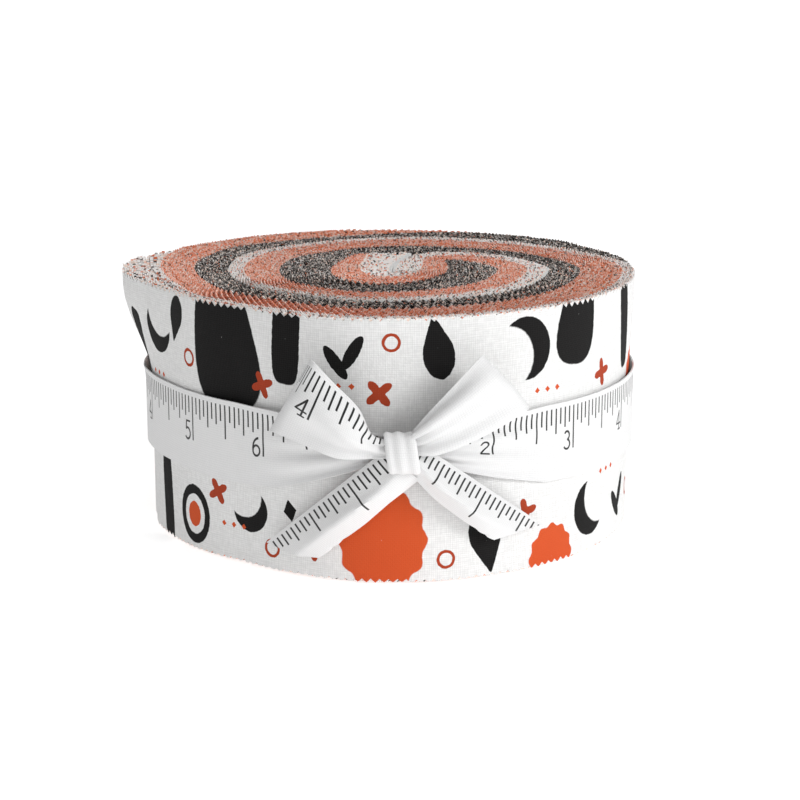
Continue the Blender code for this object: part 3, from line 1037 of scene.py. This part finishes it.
# %% One strip
def fabric_strip(index):
    """One strip, folded at the core, with both cut ends outside."""
    share = (index + 0.25) / STRIP_COUNT
    outermost = index == STRIP_COUNT - 1
    start = OUTER_START if outermost else OUTER_START + random.uniform(-1.0, 1.0)
    inner = layer_plan(share, STRIP_LENGTH / 2, start)
    outer = layer_plan(share + LAYER_GAP, STRIP_LENGTH / 2, start)
    plan = np.vstack([inner[::-1], outer])
    thickness = np.clip(plan[:, 2] * ROOM_FILLED, CLOTH_THIN, CLOTH_THICK)
    plan = plan[:, :2]
    lift = random.normal(0.0, LIFT_SPREAD)
    count = len(plan)
    phase = np.concatenate([np.arange(len(inner))[::-1], np.arange(len(outer))]) % 2
    wear = random.normal(0.0, WEAR_SPREAD, (2, count))
    bottom = np.maximum(FOOT_ROOM + lift * 0.5, 0.05) + TOOTH_DEPTH * phase + wear[0]
    top = STRIP_WIDTH - TOP_ROOM + lift - TOOTH_DEPTH * phase + wear[1]
    heights = row_heights(index)
    grid = np.array([np.column_stack([settle(plan, level), np.full(count, level)]) for level in heights])
    grid[0, :, 2] = np.maximum(bottom, 0.02)
    grid[-1, :, 2] = top
    facing = plan_normals(plan)
    normals = np.broadcast_to(np.column_stack([facing, np.zeros(count)]), grid.shape)
    along = np.arange(count)[::-1] * HALF_TOOTH + (0.0 if outermost else index * FABRIC_STRETCH)
    uv = np.stack([np.broadcast_to(along, grid.shape[:2]), grid[:, :, 2]], axis=2)
    fabric = materials["printed_motifs"] if outermost else strip_fabric(index)
    piece = cloth_sheet(f"strip_{index + 1:02d}", grid, uv, thickness, fabric, normals)
    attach(piece, "root")
    return piece


# %% All strips
strips = [fabric_strip(index) for index in range(STRIP_COUNT)]
for strip in strips:
    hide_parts("fabric_roll")
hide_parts("strip_end")
print("strips:", len(strips), "with", len(strips[0].data.vertices), "vertices each")

# %% [markdown]
# ## The tape print
# The ribbon is printed like a tape measure: marks every sixteenth of an inch, and longer ones at each
# coarser division. Its printed inch is a little short of a true one. The marks hang from the upper edge.
# One group draws a row of marks at any spacing, and the material lays five such rows over each other.

# %% Ruler marks
INCH = 24.4
MARK_START = 1.2
MARK_LINE = 0.46
LINE_SOFT = 0.04
END_SOFT = 0.05
MARKS = [
    # inches, length
    (1 / 16, 4.0),
    (1 / 8, 5.0),
    (1 / 4, 6.3),
    (1 / 2, 8.1),
    (1, 10.6),
]


def make_mark_group():
    tree, entry, leave = new_group("ruler_marks", {
        "Cloth": ORIGIN, "Spacing": 1.0, "Length": 4.0, "Start": MARK_START, "Line": MARK_LINE,
    }, {"Mask": 1})
    parts = split(tree, entry["Cloth"])
    off = math_node(tree, "PINGPONG", parts["X"], times(tree, entry["Spacing"], 0.5))
    half = times(tree, entry["Line"], 0.5)
    on_line = step_down(tree, minus(tree, off, half), -LINE_SOFT, LINE_SOFT)
    below = step_up(tree, minus(tree, parts["Y"], entry["Start"]), -END_SOFT, END_SOFT)
    end = math_node(tree, "ADD", entry["Start"], entry["Length"])
    above = step_up(tree, minus(tree, end, parts["Y"]), -END_SOFT, END_SOFT)
    mask = times(tree, times(tree, on_line, below), above)
    tree.links.new(mask, leave["Mask"])
    return tree


RULER_MARKS = make_mark_group()
print("node group:", RULER_MARKS.name)

# %% [markdown]
# ## The numbers
# A tape has a number before each inch, here from 1 to 9 and then none at the tenth. Text objects would be
# meshes of their own, so each number is ink worked out from a few straight strokes and parts of ovals, in a
# cell that is one unit high.

# %% Number strokes and arcs
NUMBER_HEIGHT = 4.5
NUMBER_WEIGHT = 0.46
NUMBER_CELL = 3.4
NUMBER_SOFT = 0.01
SPAN_SOFT = 0.02
WHOLE_TURN = -2.0
TAPE_REPEAT = 10.0
STROKES = [
    # number, from_x, from_y, to_x, to_y
    (1, 0.28, 0.0, 0.28, 1.0),
    (1, 0.12, 0.0, 0.44, 0.0),
    (1, 0.28, 1.0, 0.12, 0.84),
    (2, 0.45, 0.58, 0.06, 0.03),
    (2, 0.06, 0.03, 0.52, 0.03),
    (4, 0.40, 0.0, 0.40, 1.0),
    (4, 0.40, 1.0, 0.02, 0.32),
    (4, 0.02, 0.32, 0.58, 0.32),
    (4, 0.26, 0.0, 0.54, 0.0),
    (5, 0.14, 0.98, 0.46, 0.98),
    (5, 0.14, 0.98, 0.10, 0.54),
    (7, 0.05, 0.98, 0.52, 0.98),
    (7, 0.52, 0.98, 0.20, 0.0),
]
ARCS = [
    # number, centre_x, centre_y, radius_x, radius_y, middle_angle, half_span
    (2, 0.27, 0.74, 0.21, 0.25, 75.0, 105.0),
    (3, 0.24, 0.75, 0.19, 0.23, 35.0, 115.0),
    (3, 0.24, 0.27, 0.23, 0.26, -35.0, 120.0),
    (5, 0.23, 0.31, 0.25, 0.30, -10.0, 135.0),
    (6, 0.28, 0.28, 0.23, 0.28, 0.0, 180.0),
    (6, 0.50, 0.40, 0.45, 0.58, 145.0, 48.0),
    (8, 0.27, 0.76, 0.18, 0.22, 0.0, 180.0),
    (8, 0.27, 0.27, 0.22, 0.26, 0.0, 180.0),
    (9, 0.26, 0.71, 0.22, 0.27, 0.0, 180.0),
    (9, 0.04, 0.60, 0.44, 0.58, -35.0, 48.0),
]
print("numbers need", len(STROKES), "strokes and", len(ARCS), "arcs")


# %% Number groups
def make_stroke_group():
    tree, entry, leave = new_group("number_stroke", {
        "Place": ORIGIN, "From": ORIGIN, "To": (0.0, 1.0, 0.0), "Weight": 0.08,
    }, {"Mask": 1})
    here = vector_node(tree, "SUBTRACT", entry["Place"], entry["From"])
    whole = vector_node(tree, "SUBTRACT", entry["To"], entry["From"])
    reach = vector_node(tree, "DOT_PRODUCT", here, whole)
    square = vector_node(tree, "DOT_PRODUCT", whole, whole)
    share = add_node(tree, "Clamp", {0: divide(tree, reach, square)}).outputs[0]
    nearest = add_node(tree, "VectorMath", {0: whole, "Scale": share}, operation="SCALE").outputs[0]
    away = vector_node(tree, "DISTANCE", here, nearest)
    edge = minus(tree, away, times(tree, entry["Weight"], 0.5))
    tree.links.new(step_down(tree, edge, -NUMBER_SOFT, NUMBER_SOFT), leave["Mask"])
    return tree


def make_arc_group():
    tree, entry, leave = new_group("number_arc", {
        "Place": ORIGIN, "Centre": ORIGIN, "Radius": (1.0, 1.0, 1.0), "Middle": (1.0, 0.0, 0.0),
        "Cut": WHOLE_TURN, "Weight": 0.08,
    }, {"Mask": 1})
    here = vector_node(tree, "SUBTRACT", entry["Place"], entry["Centre"])
    unit = vector_node(tree, "DIVIDE", here, entry["Radius"])
    reach = vector_node(tree, "LENGTH", unit)
    way = vector_node(tree, "NORMALIZE", unit)
    facing = vector_node(tree, "DOT_PRODUCT", way, entry["Middle"])
    size = split(tree, entry["Radius"])["X"]
    off = times(tree, math_node(tree, "ABSOLUTE", minus(tree, reach, 1.0)), size)
    edge = minus(tree, off, times(tree, entry["Weight"], 0.5))
    on_line = step_down(tree, edge, -NUMBER_SOFT, NUMBER_SOFT)
    in_span = step_up(tree, minus(tree, facing, entry["Cut"]), -SPAN_SOFT, SPAN_SOFT)
    tree.links.new(times(tree, on_line, in_span), leave["Mask"])
    return tree


NUMBER_STROKE = make_stroke_group()
NUMBER_ARC = make_arc_group()
print("node groups:", NUMBER_STROKE.name, "and", NUMBER_ARC.name)


# %% The number before each inch
def number_mask(tree, where):
    """Ink of the number that stands just before each inch mark."""
    parts = split(tree, where)
    inches = math_node(tree, "CEIL", divide(tree, parts["X"], INCH))
    before = minus(tree, times(tree, inches, INCH), parts["X"])
    across = divide(tree, minus(tree, NUMBER_CELL, before), NUMBER_HEIGHT)
    foot = MARK_START + MARKS[-1][1]
    up = divide(tree, minus(tree, foot, parts["Y"]), NUMBER_HEIGHT)
    place = add_node(tree, "CombineXYZ", {0: across, 1: up}).outputs[0]
    counted = math_node(tree, "WRAP", inches, TAPE_REPEAT + 1.0, 1.0)
    weight = NUMBER_WEIGHT / NUMBER_HEIGHT
    shapes = []
    for number, from_x, from_y, to_x, to_y in STROKES:
        shapes.append((number, NUMBER_STROKE, {"From": (from_x, from_y, 0.0), "To": (to_x, to_y, 0.0)}))
    for number, centre_x, centre_y, radius_x, radius_y, middle, half_span in ARCS:
        middle = math.radians(middle)
        shapes.append((number, NUMBER_ARC, {
            "Centre": (centre_x, centre_y, 0.0),
            "Radius": (radius_x, radius_y, 1.0),
            "Middle": (math.cos(middle), math.sin(middle), 0.0),
            "Cut": math.cos(math.radians(half_span)) if half_span < 180.0 else WHOLE_TURN,
        }))
    total = 0.0
    for number in range(1, 10):
        ink = 0.0
        for owner, group, inputs in shapes:
            if owner == number:
                mask = use_group(tree, group, {"Place": place, "Weight": weight, **inputs})["Mask"]
                ink = math_node(tree, "MAXIMUM", ink, mask)
        chosen = math_node(tree, "COMPARE", counted, float(number), 0.1)
        total = math_node(tree, "MAXIMUM", total, times(tree, ink, chosen))
    return total


# %% [markdown]
# ## The ribbon's cloth
# Twill ribbon is smoother than the cotton and has a slight shine, so its material is less rough and has
# more sheen. Its threads are mixed first, with painted shade in the gaps between them, and the ink goes
# over them, as in printing.

# %% Ribbon material
TAPE_THREADS = (0.79, 0.79, 0.79, 1.0)
# Painted shade in the gaps between threads: its colour, then how much of it.
TAPE_GAP_SHADE = (0.55, 0.55, 0.56, 1.0)
TAPE_GAP_SHADE_SHARE = 0.36
TAPE_INK = (0.012, 0.012, 0.012, 1.0)
RIBBON_RELIEF = 0.00012


def ribbon_material():
    material, tree, shader, where = cloth_material("printed_tape", 0.75)
    shader.inputs["Sheen Weight"].default_value = 0.3
    ink = number_mask(tree, where)
    for inches, length in MARKS:
        marks = use_group(tree, RULER_MARKS, {"Cloth": where, "Spacing": inches * INCH, "Length": length})
        ink = math_node(tree, "MAXIMUM", ink, marks["Mask"])
    weave = use_group(tree, PLAIN_WEAVE, {"Cloth": where, "Thread Along": 0.46, "Thread Across": 0.55})
    # Darkening the gaps between threads is painted shade.
    cloth = mix_colour(tree, times(tree, weave["Gap"], TAPE_GAP_SHADE_SHARE), TAPE_THREADS, TAPE_GAP_SHADE)
    tree.links.new(mix_colour(tree, ink, cloth, TAPE_INK), shader.inputs["Base Color"])
    raise_weave(tree, shader, weave, 0.5, RIBBON_RELIEF)
    return material


materials["printed_tape"] = ribbon_material()
print("lengths of the ribbon's marks:", [length for inches, length in MARKS])

# %% [markdown]
# ## The ribbon pieces
# A twill ribbon goes once round the waist and is tied in a bow. It is modelled in six pieces that meet at
# the knot. Each loop and tail is described by a few sections across the ribbon, because a simulated bow
# wouldn't fall as this one does. A section has four points: the marked edge, a ridge, a valley and the other
# edge, each with its place on the front (x, z) and how far it stands off the wall. It ends with the depth of
# the small pleats there.

# %% Ribbon helpers
BOW_PLANE = -68.0
SIGHT_STEPS = 6


def on_wall(x, z, lift):
    """Slides a place on the bow's upright plane along the line of sight until it is lift off the wall."""
    eye_x, eye_y, eye_z = CAMERA_PLACE
    y = BOW_PLANE
    for _ in range(SIGHT_STEPS):
        near = (y - eye_y) / (BOW_PLANE - eye_y)
        place_x = eye_x + (x - eye_x) * near
        place_z = eye_z + (z - eye_z) * near
        radius = float(wall_radius(math.degrees(math.atan2(y, place_x)), place_z)) + lift
        y = -math.sqrt(max(radius * radius - place_x * place_x, 1.0))
    return (place_x, y, place_z)


def creased(points, steps):
    """Straight runs between points, with each inner corner rounded a little."""
    run = np.repeat(np.arange(len(points) - 1), steps) + np.tile(np.arange(steps) / steps, len(points) - 1)
    line = np.stack([np.interp(run, np.arange(len(points)), points[:, axis]) for axis in range(3)], axis=1)
    soft = line.copy()
    soft[1:-1] = (line[:-2] + 2.0 * line[1:-1] + line[2:]) / 4.0
    return np.vstack([soft, points[-1:]])


def resample_rows(grid, rows):
    """Spreads the rows of each column evenly over its length."""
    columns = []
    for line in grid.transpose(1, 0, 2):
        gone = distance_along(line)
        marks = np.linspace(0.0, gone[-1], rows)
        columns.append(np.stack([np.interp(marks, gone, axis) for axis in line.T], axis=1))
    return np.stack(columns, axis=1)


wall_in_front = on_wall(CAMERA_PLACE[0], STRIP_WIDTH / 2, 0.0)
print("the wall in front of the camera is at y =", round(wall_in_front[1], 1), "mm")

# %% Ribbon pieces
PLAIN_SIDE = 60.0
RIBBON_ROWS = 25
SECTION_STEPS = 14
ACROSS_STEPS = 12


def tape_uv(u, v):
    """Where a ribbon's two sides lie on the cloth: the printed side, and the plain side past the print."""
    printed = np.stack([u, np.broadcast_to(v * RIBBON_WIDTH, u.shape)], axis=2)
    return printed, printed + np.array([0.0, PLAIN_SIDE])


def finish_ribbon(piece, node):
    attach(piece, "root")
    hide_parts(node)


def ribbon_piece(name, sections, pleats, tape_start, tape_length, flip=False, straight=False):
    """A ribbon through its sections, in order, with so many pleats across it.

    Flip puts the print on the other side. A straight one is creased at its ridges, and its marks keep to
    one line.
    """
    knots = np.array([[on_wall(*point) for point in section[:4]] for section in sections])
    curves = smooth_curve(knots.reshape(len(knots), -1), SECTION_STEPS).reshape(-1, 4, 3)
    shape = creased if straight else smooth_curve
    across = np.array([shape(points, ACROSS_STEPS) for points in curves]).transpose(1, 0, 2)
    grid = resample_rows(across, RIBBON_ROWS)
    share = np.linspace(0.0, 1.0, grid.shape[1])
    depth = np.interp(share * (len(sections) - 1), np.arange(len(sections)), [row[4] for row in sections])
    v = np.linspace(0.0, 1.0, RIBBON_ROWS)[:, None]
    wave = depth * np.sin(2.0 * math.pi * pleats * v)
    grid = grid + grid_normals(grid) * wave[:, :, None]
    u = tape_start + tape_length * share
    if straight:
        axis = (grid[0, -1] - grid[0, 0]) * (1.0, 0.0, 1.0)
        axis /= np.linalg.norm(axis)
        u = tape_start + math.copysign(1.0, tape_length) * ((grid - grid[0, 0]) @ axis)
    printed, plain = tape_uv(np.broadcast_to(u, grid.shape[:2]), v)
    front, back = (plain, printed) if flip else (printed, plain)
    piece = cloth_sheet(name, grid, front, RIBBON_THICKNESS, materials["printed_tape"], None, back)
    finish_ribbon(piece, name)
    print(name, "is", abs(tape_length), "mm of ribbon through", len(sections), "sections")
    return piece


# %% [markdown]
# ## The band
# Round the waist the ribbon lies flat. Towards the knot it narrows and gathers into three soft pleats. A
# bevelled curve could run round the waist, but sums on the angle and height give the pleats too. They start
# from the wall's own radius, so the band always hugs the cloth.

# %% Band edges and pleats
BAND_EDGES = [
    # angle, lower, upper
    (0.0, 20.6, 39.7),
    (236.0, 20.4, 39.9),
    (248.0, 21.4, 39.6),
    (258.0, 24.6, 38.8),
    (267.0, 28.0, 37.2),
    (275.7, 29.4, 36.2),
    (284.4, 28.0, 37.2),
    (295.0, 24.6, 38.8),
    (308.0, 21.2, 39.7),
    (320.0, 20.6, 39.7),
    (360.0, 20.6, 39.7),
]
BAND_ROWS = 33
BAND_STEP = 1.0
BAND_LIFT = 0.35
FIVE_ANGLE = 220.7
PLEAT_CENTRE = 275.7
PLEAT_REACH = 36.0
PLEAT_DEPTH = 0.85
PLEATS_ACROSS = 3.0
PLEAT_PHASE = 0.15
PLEAT_FLATNESS = 0.7
print("the band is", round(BAND_EDGES[0][2] - BAND_EDGES[0][1], 1), "mm high, and less at the knot")


# %% Band
def ribbon_band():
    angle = np.arange(PLEAT_CENTRE - 360.0, PLEAT_CENTRE + BAND_STEP / 2, BAND_STEP)
    turn = angle % 360.0
    lower = np.interp(turn, column(BAND_EDGES, 0), column(BAND_EDGES, 1))
    upper = np.interp(turn, column(BAND_EDGES, 0), column(BAND_EDGES, 2))
    v = np.linspace(0.0, 1.0, BAND_ROWS)[:, None]
    height = upper + (lower - upper) * v
    near = np.minimum(np.abs(angle - PLEAT_CENTRE), np.abs(angle - PLEAT_CENTRE + 360.0))
    gather = smooth_step(1.0 - near / PLEAT_REACH)
    wave = np.sin(2.0 * math.pi * (PLEATS_ACROSS * v + PLEAT_PHASE))
    pleat = PLEAT_DEPTH * gather * (1.0 + np.sign(wave) * np.abs(wave) ** PLEAT_FLATNESS)
    radius = wall_radius(np.broadcast_to(turn, height.shape), height) + BAND_LIFT + pleat
    grid = np.stack([radius * np.cos(np.radians(turn)), radius * np.sin(np.radians(turn)), height], axis=2)
    gone = distance_along(grid[BAND_ROWS // 2])
    five = np.interp(FIVE_ANGLE, angle, gone)
    printed, plain = tape_uv(np.broadcast_to(gone - five + 5.0 * INCH, height.shape), v)
    tape = materials["printed_tape"]
    piece = cloth_sheet("ribbon_band", grid, plain, RIBBON_THICKNESS, tape, None, printed)
    finish_ribbon(piece, "ribbon_band")
    print("band goes round", round(gone[-1]), "mm")
    return piece


ribbon_band()

# %% [markdown]
# ## The loops
# A loop leaves the knot, swells as its folds open, turns over at its end and comes back behind itself. Two
# flat ribbons could stand for its halves, but one path keeps the turn at its end whole. The sections run
# along the front half first, and then along the back half.

# %% Left loop
LEFT_LOOP = [
    # marked edge, ridge, valley, other edge, pleat_depth
    ((5.0, 35.4, 6.0), (5.0, 34.2, 6.6), (5.0, 32.8, 6.2), (5.0, 31.6, 6.0), 0.5),
    ((-0.2, 36.7, 6.8), (-0.4, 34.9, 8.8), (-0.3, 33.0, 7.4), (-0.2, 31.4, 7.0), 0.5),
    ((-3.6, 43.2, 8.4), (-5.8, 37.2, 12.0), (-7.2, 33.8, 9.2), (-8.2, 31.4, 9.4), 0.35),
    ((-8.8, 48.8, 9.2), (-11.6, 41.6, 12.6), (-13.2, 37.4, 10.2), (-14.5, 34.0, 10.2), 0.1),
    ((-13.0, 53.4, 9.6), (-17.2, 45.6, 11.2), (-19.6, 41.0, 10.4), (-21.6, 37.2, 9.8), 0.0),
    ((-14.1, 54.3, 7.8), (-18.4, 46.8, 8.4), (-21.2, 42.0, 8.0), (-23.5, 37.9, 7.6), 0.0),
    ((-13.4, 53.4, 5.8), (-17.6, 46.0, 5.8), (-20.2, 41.4, 5.6), (-22.4, 37.6, 5.4), 0.0),
    ((-7.6, 46.4, 4.2), (-10.4, 41.0, 4.2), (-12.2, 37.6, 4.0), (-13.6, 35.2, 3.8), 0.3),
    ((-0.6, 36.2, 4.6), (-0.8, 34.8, 4.4), (-0.9, 33.4, 4.4), (-0.8, 32.0, 4.4), 0.5),
    ((4.6, 35.0, 4.8), (4.6, 34.2, 4.8), (4.6, 33.0, 4.8), (4.6, 32.0, 4.8), 0.5),
]
ribbon_piece("bow_loop_left", LEFT_LOOP, 2.0, 4.0 * INCH + 21.0, -56.0)

# %% Right loop
RIGHT_LOOP = [
    # upper edge, ridge, valley, lower edge, pleat_depth
    ((7.6, 36.6, 6.0), (7.6, 35.0, 6.8), (7.6, 33.6, 6.4), (7.6, 32.4, 6.0), 0.6),
    ((12.4, 42.2, 8.0), (13.4, 38.8, 11.2), (14.2, 35.6, 8.6), (14.6, 32.4, 9.0), 0.6),
    ((18.6, 49.0, 9.4), (21.4, 44.2, 12.4), (23.0, 40.4, 10.2), (24.2, 36.4, 10.0), 0.4),
    ((23.4, 54.4, 9.6), (27.6, 50.0, 11.4), (31.0, 46.2, 10.4), (33.6, 42.0, 9.8), 0.1),
    ((24.5, 55.3, 7.8), (28.6, 51.2, 8.4), (32.2, 47.2, 8.0), (35.0, 43.3, 7.6), 0.0),
    ((23.8, 54.4, 5.8), (27.8, 50.4, 5.8), (31.4, 46.4, 5.6), (34.2, 42.8, 5.4), 0.0),
    ((16.4, 45.6, 4.2), (19.2, 42.0, 4.2), (21.2, 39.4, 4.0), (23.0, 37.2, 3.8), 0.3),
    ((10.6, 37.4, 4.6), (11.0, 36.2, 4.4), (11.2, 34.8, 4.4), (11.2, 33.4, 4.4), 0.5),
    ((8.0, 35.8, 4.8), (8.0, 34.8, 4.8), (8.0, 33.8, 4.8), (8.0, 32.8, 4.8), 0.5),
]
ribbon_piece("bow_loop_right", RIGHT_LOOP, 3.0, 10.0, 58.0)

# %% [markdown]
# ## The tails
# A tail is cut across at its end and falls over the band and the wall, folded lengthwise with its lower
# edge tucked under. Its folds are sharper than a loop's, so straight runs with softened corners join its
# points. Its marks run straight along it, over the folds.

# %% Left tail
LEFT_TAIL = [
    # marked edge, ridge, hem, edge tucked under, pleat_depth
    ((2.6, 33.3, 4.4), (7.0, 29.4, 6.4), (10.4, 26.4, 4.4), (7.4, 28.4, 3.4), 0.4),
    ((-6.0, 26.5, 2.6), (0.6, 23.1, 7.4), (4.0, 21.0, 3.8), (0.6, 22.9, 1.8), 0.2),
    ((-15.0, 19.3, 1.8), (-7.2, 17.0, 6.6), (-3.2, 15.0, 3.0), (-6.6, 16.5, 1.3), 0.0),
    ((-20.6, 14.8, 1.4), (-12.6, 12.8, 5.0), (-7.7, 11.5, 2.6), (-10.4, 13.0, 1.3), 0.0),
    ((-24.6, 11.6, 1.2), (-18.0, 8.4, 3.2), (-12.4, 7.9, 2.2), (-11.4, 10.6, 1.2), 0.0),
]
ribbon_piece("bow_tail_left", LEFT_TAIL, 2.0, 10.0 * INCH + 12.0, -35.0, straight=True)

# %% Right tail
RIGHT_TAIL = [
    # marked edge, ridge, hem, edge tucked under, pleat_depth
    ((7.6, 36.7, 5.4), (8.6, 32.0, 7.2), (9.0, 27.0, 4.8), (8.8, 30.4, 3.4), 0.4),
    ((17.0, 30.4, 3.2), (14.8, 25.0, 7.8), (13.8, 21.8, 4.0), (15.2, 25.0, 1.8), 0.2),
    ((28.0, 22.9, 2.0), (24.0, 18.0, 6.4), (21.6, 15.8, 3.0), (23.8, 18.6, 1.3), 0.0),
    ((38.4, 15.9, 1.2), (31.6, 13.6, 3.4), (27.0, 12.1, 2.2), (28.2, 14.2, 1.2), 0.0),
]
ribbon_piece("bow_tail_right", RIGHT_TAIL, 2.0, 9.0 * INCH + 1.0, 36.0,
             flip=True, straight=True)


# %% [markdown]
# ## The knot
# The knot is a short length of the same ribbon, folded in from both sides and wrapped over the middle of
# the bow. It is one sheet bent by a few sums, because its folds are too small for hand-placed sections.

# %% Knot sizes
KNOT_CENTRE = (6.4, 32.7)
KNOT_HALF = (3.5, 2.6, 4.7)
KNOT_LIFT = 6.6
KNOT_SWEEP = 112.0
KNOT_TUCK = 0.8
KNOT_LEAN = 0.14
KNOT_ROWS = 33
KNOT_COLUMNS = 41
KNOT_FLAT = 0.40
KNOT_TURN = 0.28
KNOT_RETURN = 1.5
KNOT_UNDERLAP = 0.6
KNOT_CREASE = 0.18
KNOT_CREASES = 17.0
KNOT_CREASE_PHASE = 0.8
KNOT_CROWN = 0.3
KNOT_CROWN_BEND = 1.5
print("the knot is", 2.0 * KNOT_HALF[0], "by", 2.0 * KNOT_HALF[2], "mm")


# %% Knot
def bow_knot():
    """Its rows run across the front, turn in at both edges and lie behind. Its columns wrap over the bow."""
    fold = np.linspace(-1.0, 1.0, KNOT_ROWS)[:, None]
    side = np.sign(fold)
    in_front = np.abs(fold) < KNOT_FLAT
    sweep = np.radians(np.linspace(KNOT_SWEEP, -KNOT_SWEEP, KNOT_COLUMNS))[None, :]
    beyond = np.clip((np.abs(fold) - KNOT_FLAT) / (1.0 - KNOT_FLAT), 0.0, 1.0)
    turn_in = np.clip(beyond / KNOT_TURN, 0.0, 1.0) * math.pi
    half_x, half_y, half_z = KNOT_HALF
    half_tuck = KNOT_TUCK / 2.0
    flat_x = half_x - half_tuck
    across = np.where(in_front, fold / KNOT_FLAT, side)
    return_x = np.clip((beyond - KNOT_TURN) / (1.0 - KNOT_TURN), 0.0, 1.0) * flat_x * KNOT_RETURN
    x = KNOT_CENTRE[0] + across * flat_x + side * np.sin(turn_in) * half_tuck - side * return_x
    inward = (1.0 - np.cos(turn_in)) * half_tuck + KNOT_UNDERLAP * beyond * (fold > 0.0)
    crease = KNOT_CREASE * np.cos(fold * KNOT_CREASES + KNOT_CREASE_PHASE) * in_front
    centre = on_wall(*KNOT_CENTRE, KNOT_LIFT)
    out_y = (half_y - inward + crease + KNOT_CROWN * np.cos(across * KNOT_CROWN_BEND)) * np.cos(sweep)
    out_z = (half_z - inward + crease) * np.sin(sweep)
    grid = np.stack([x - KNOT_LEAN * out_z, centre[1] - out_y, centre[2] + out_z], axis=2)
    length = float(np.linalg.norm(np.diff(grid[KNOT_ROWS // 2], axis=0), axis=1).sum())
    u = np.broadcast_to(np.linspace(0.0, length, KNOT_COLUMNS), out_z.shape)
    plain = tape_uv(u, (fold + 1.0) / 2.0)[1]
    piece = cloth_sheet("bow_knot", grid, plain, RIBBON_THICKNESS, materials["printed_tape"])
    finish_ribbon(piece, "bow_knot")
    print("knot ribbon is", round(length, 1), "mm long")
    return piece


bow_knot()

# %% [markdown]
# ## Sizes
# The size of the finished model is printed.

# %% Sizes
low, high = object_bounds()
print("the model measures", [round((b - a) / MM, 1) for a, b in zip(low, high)], "mm")
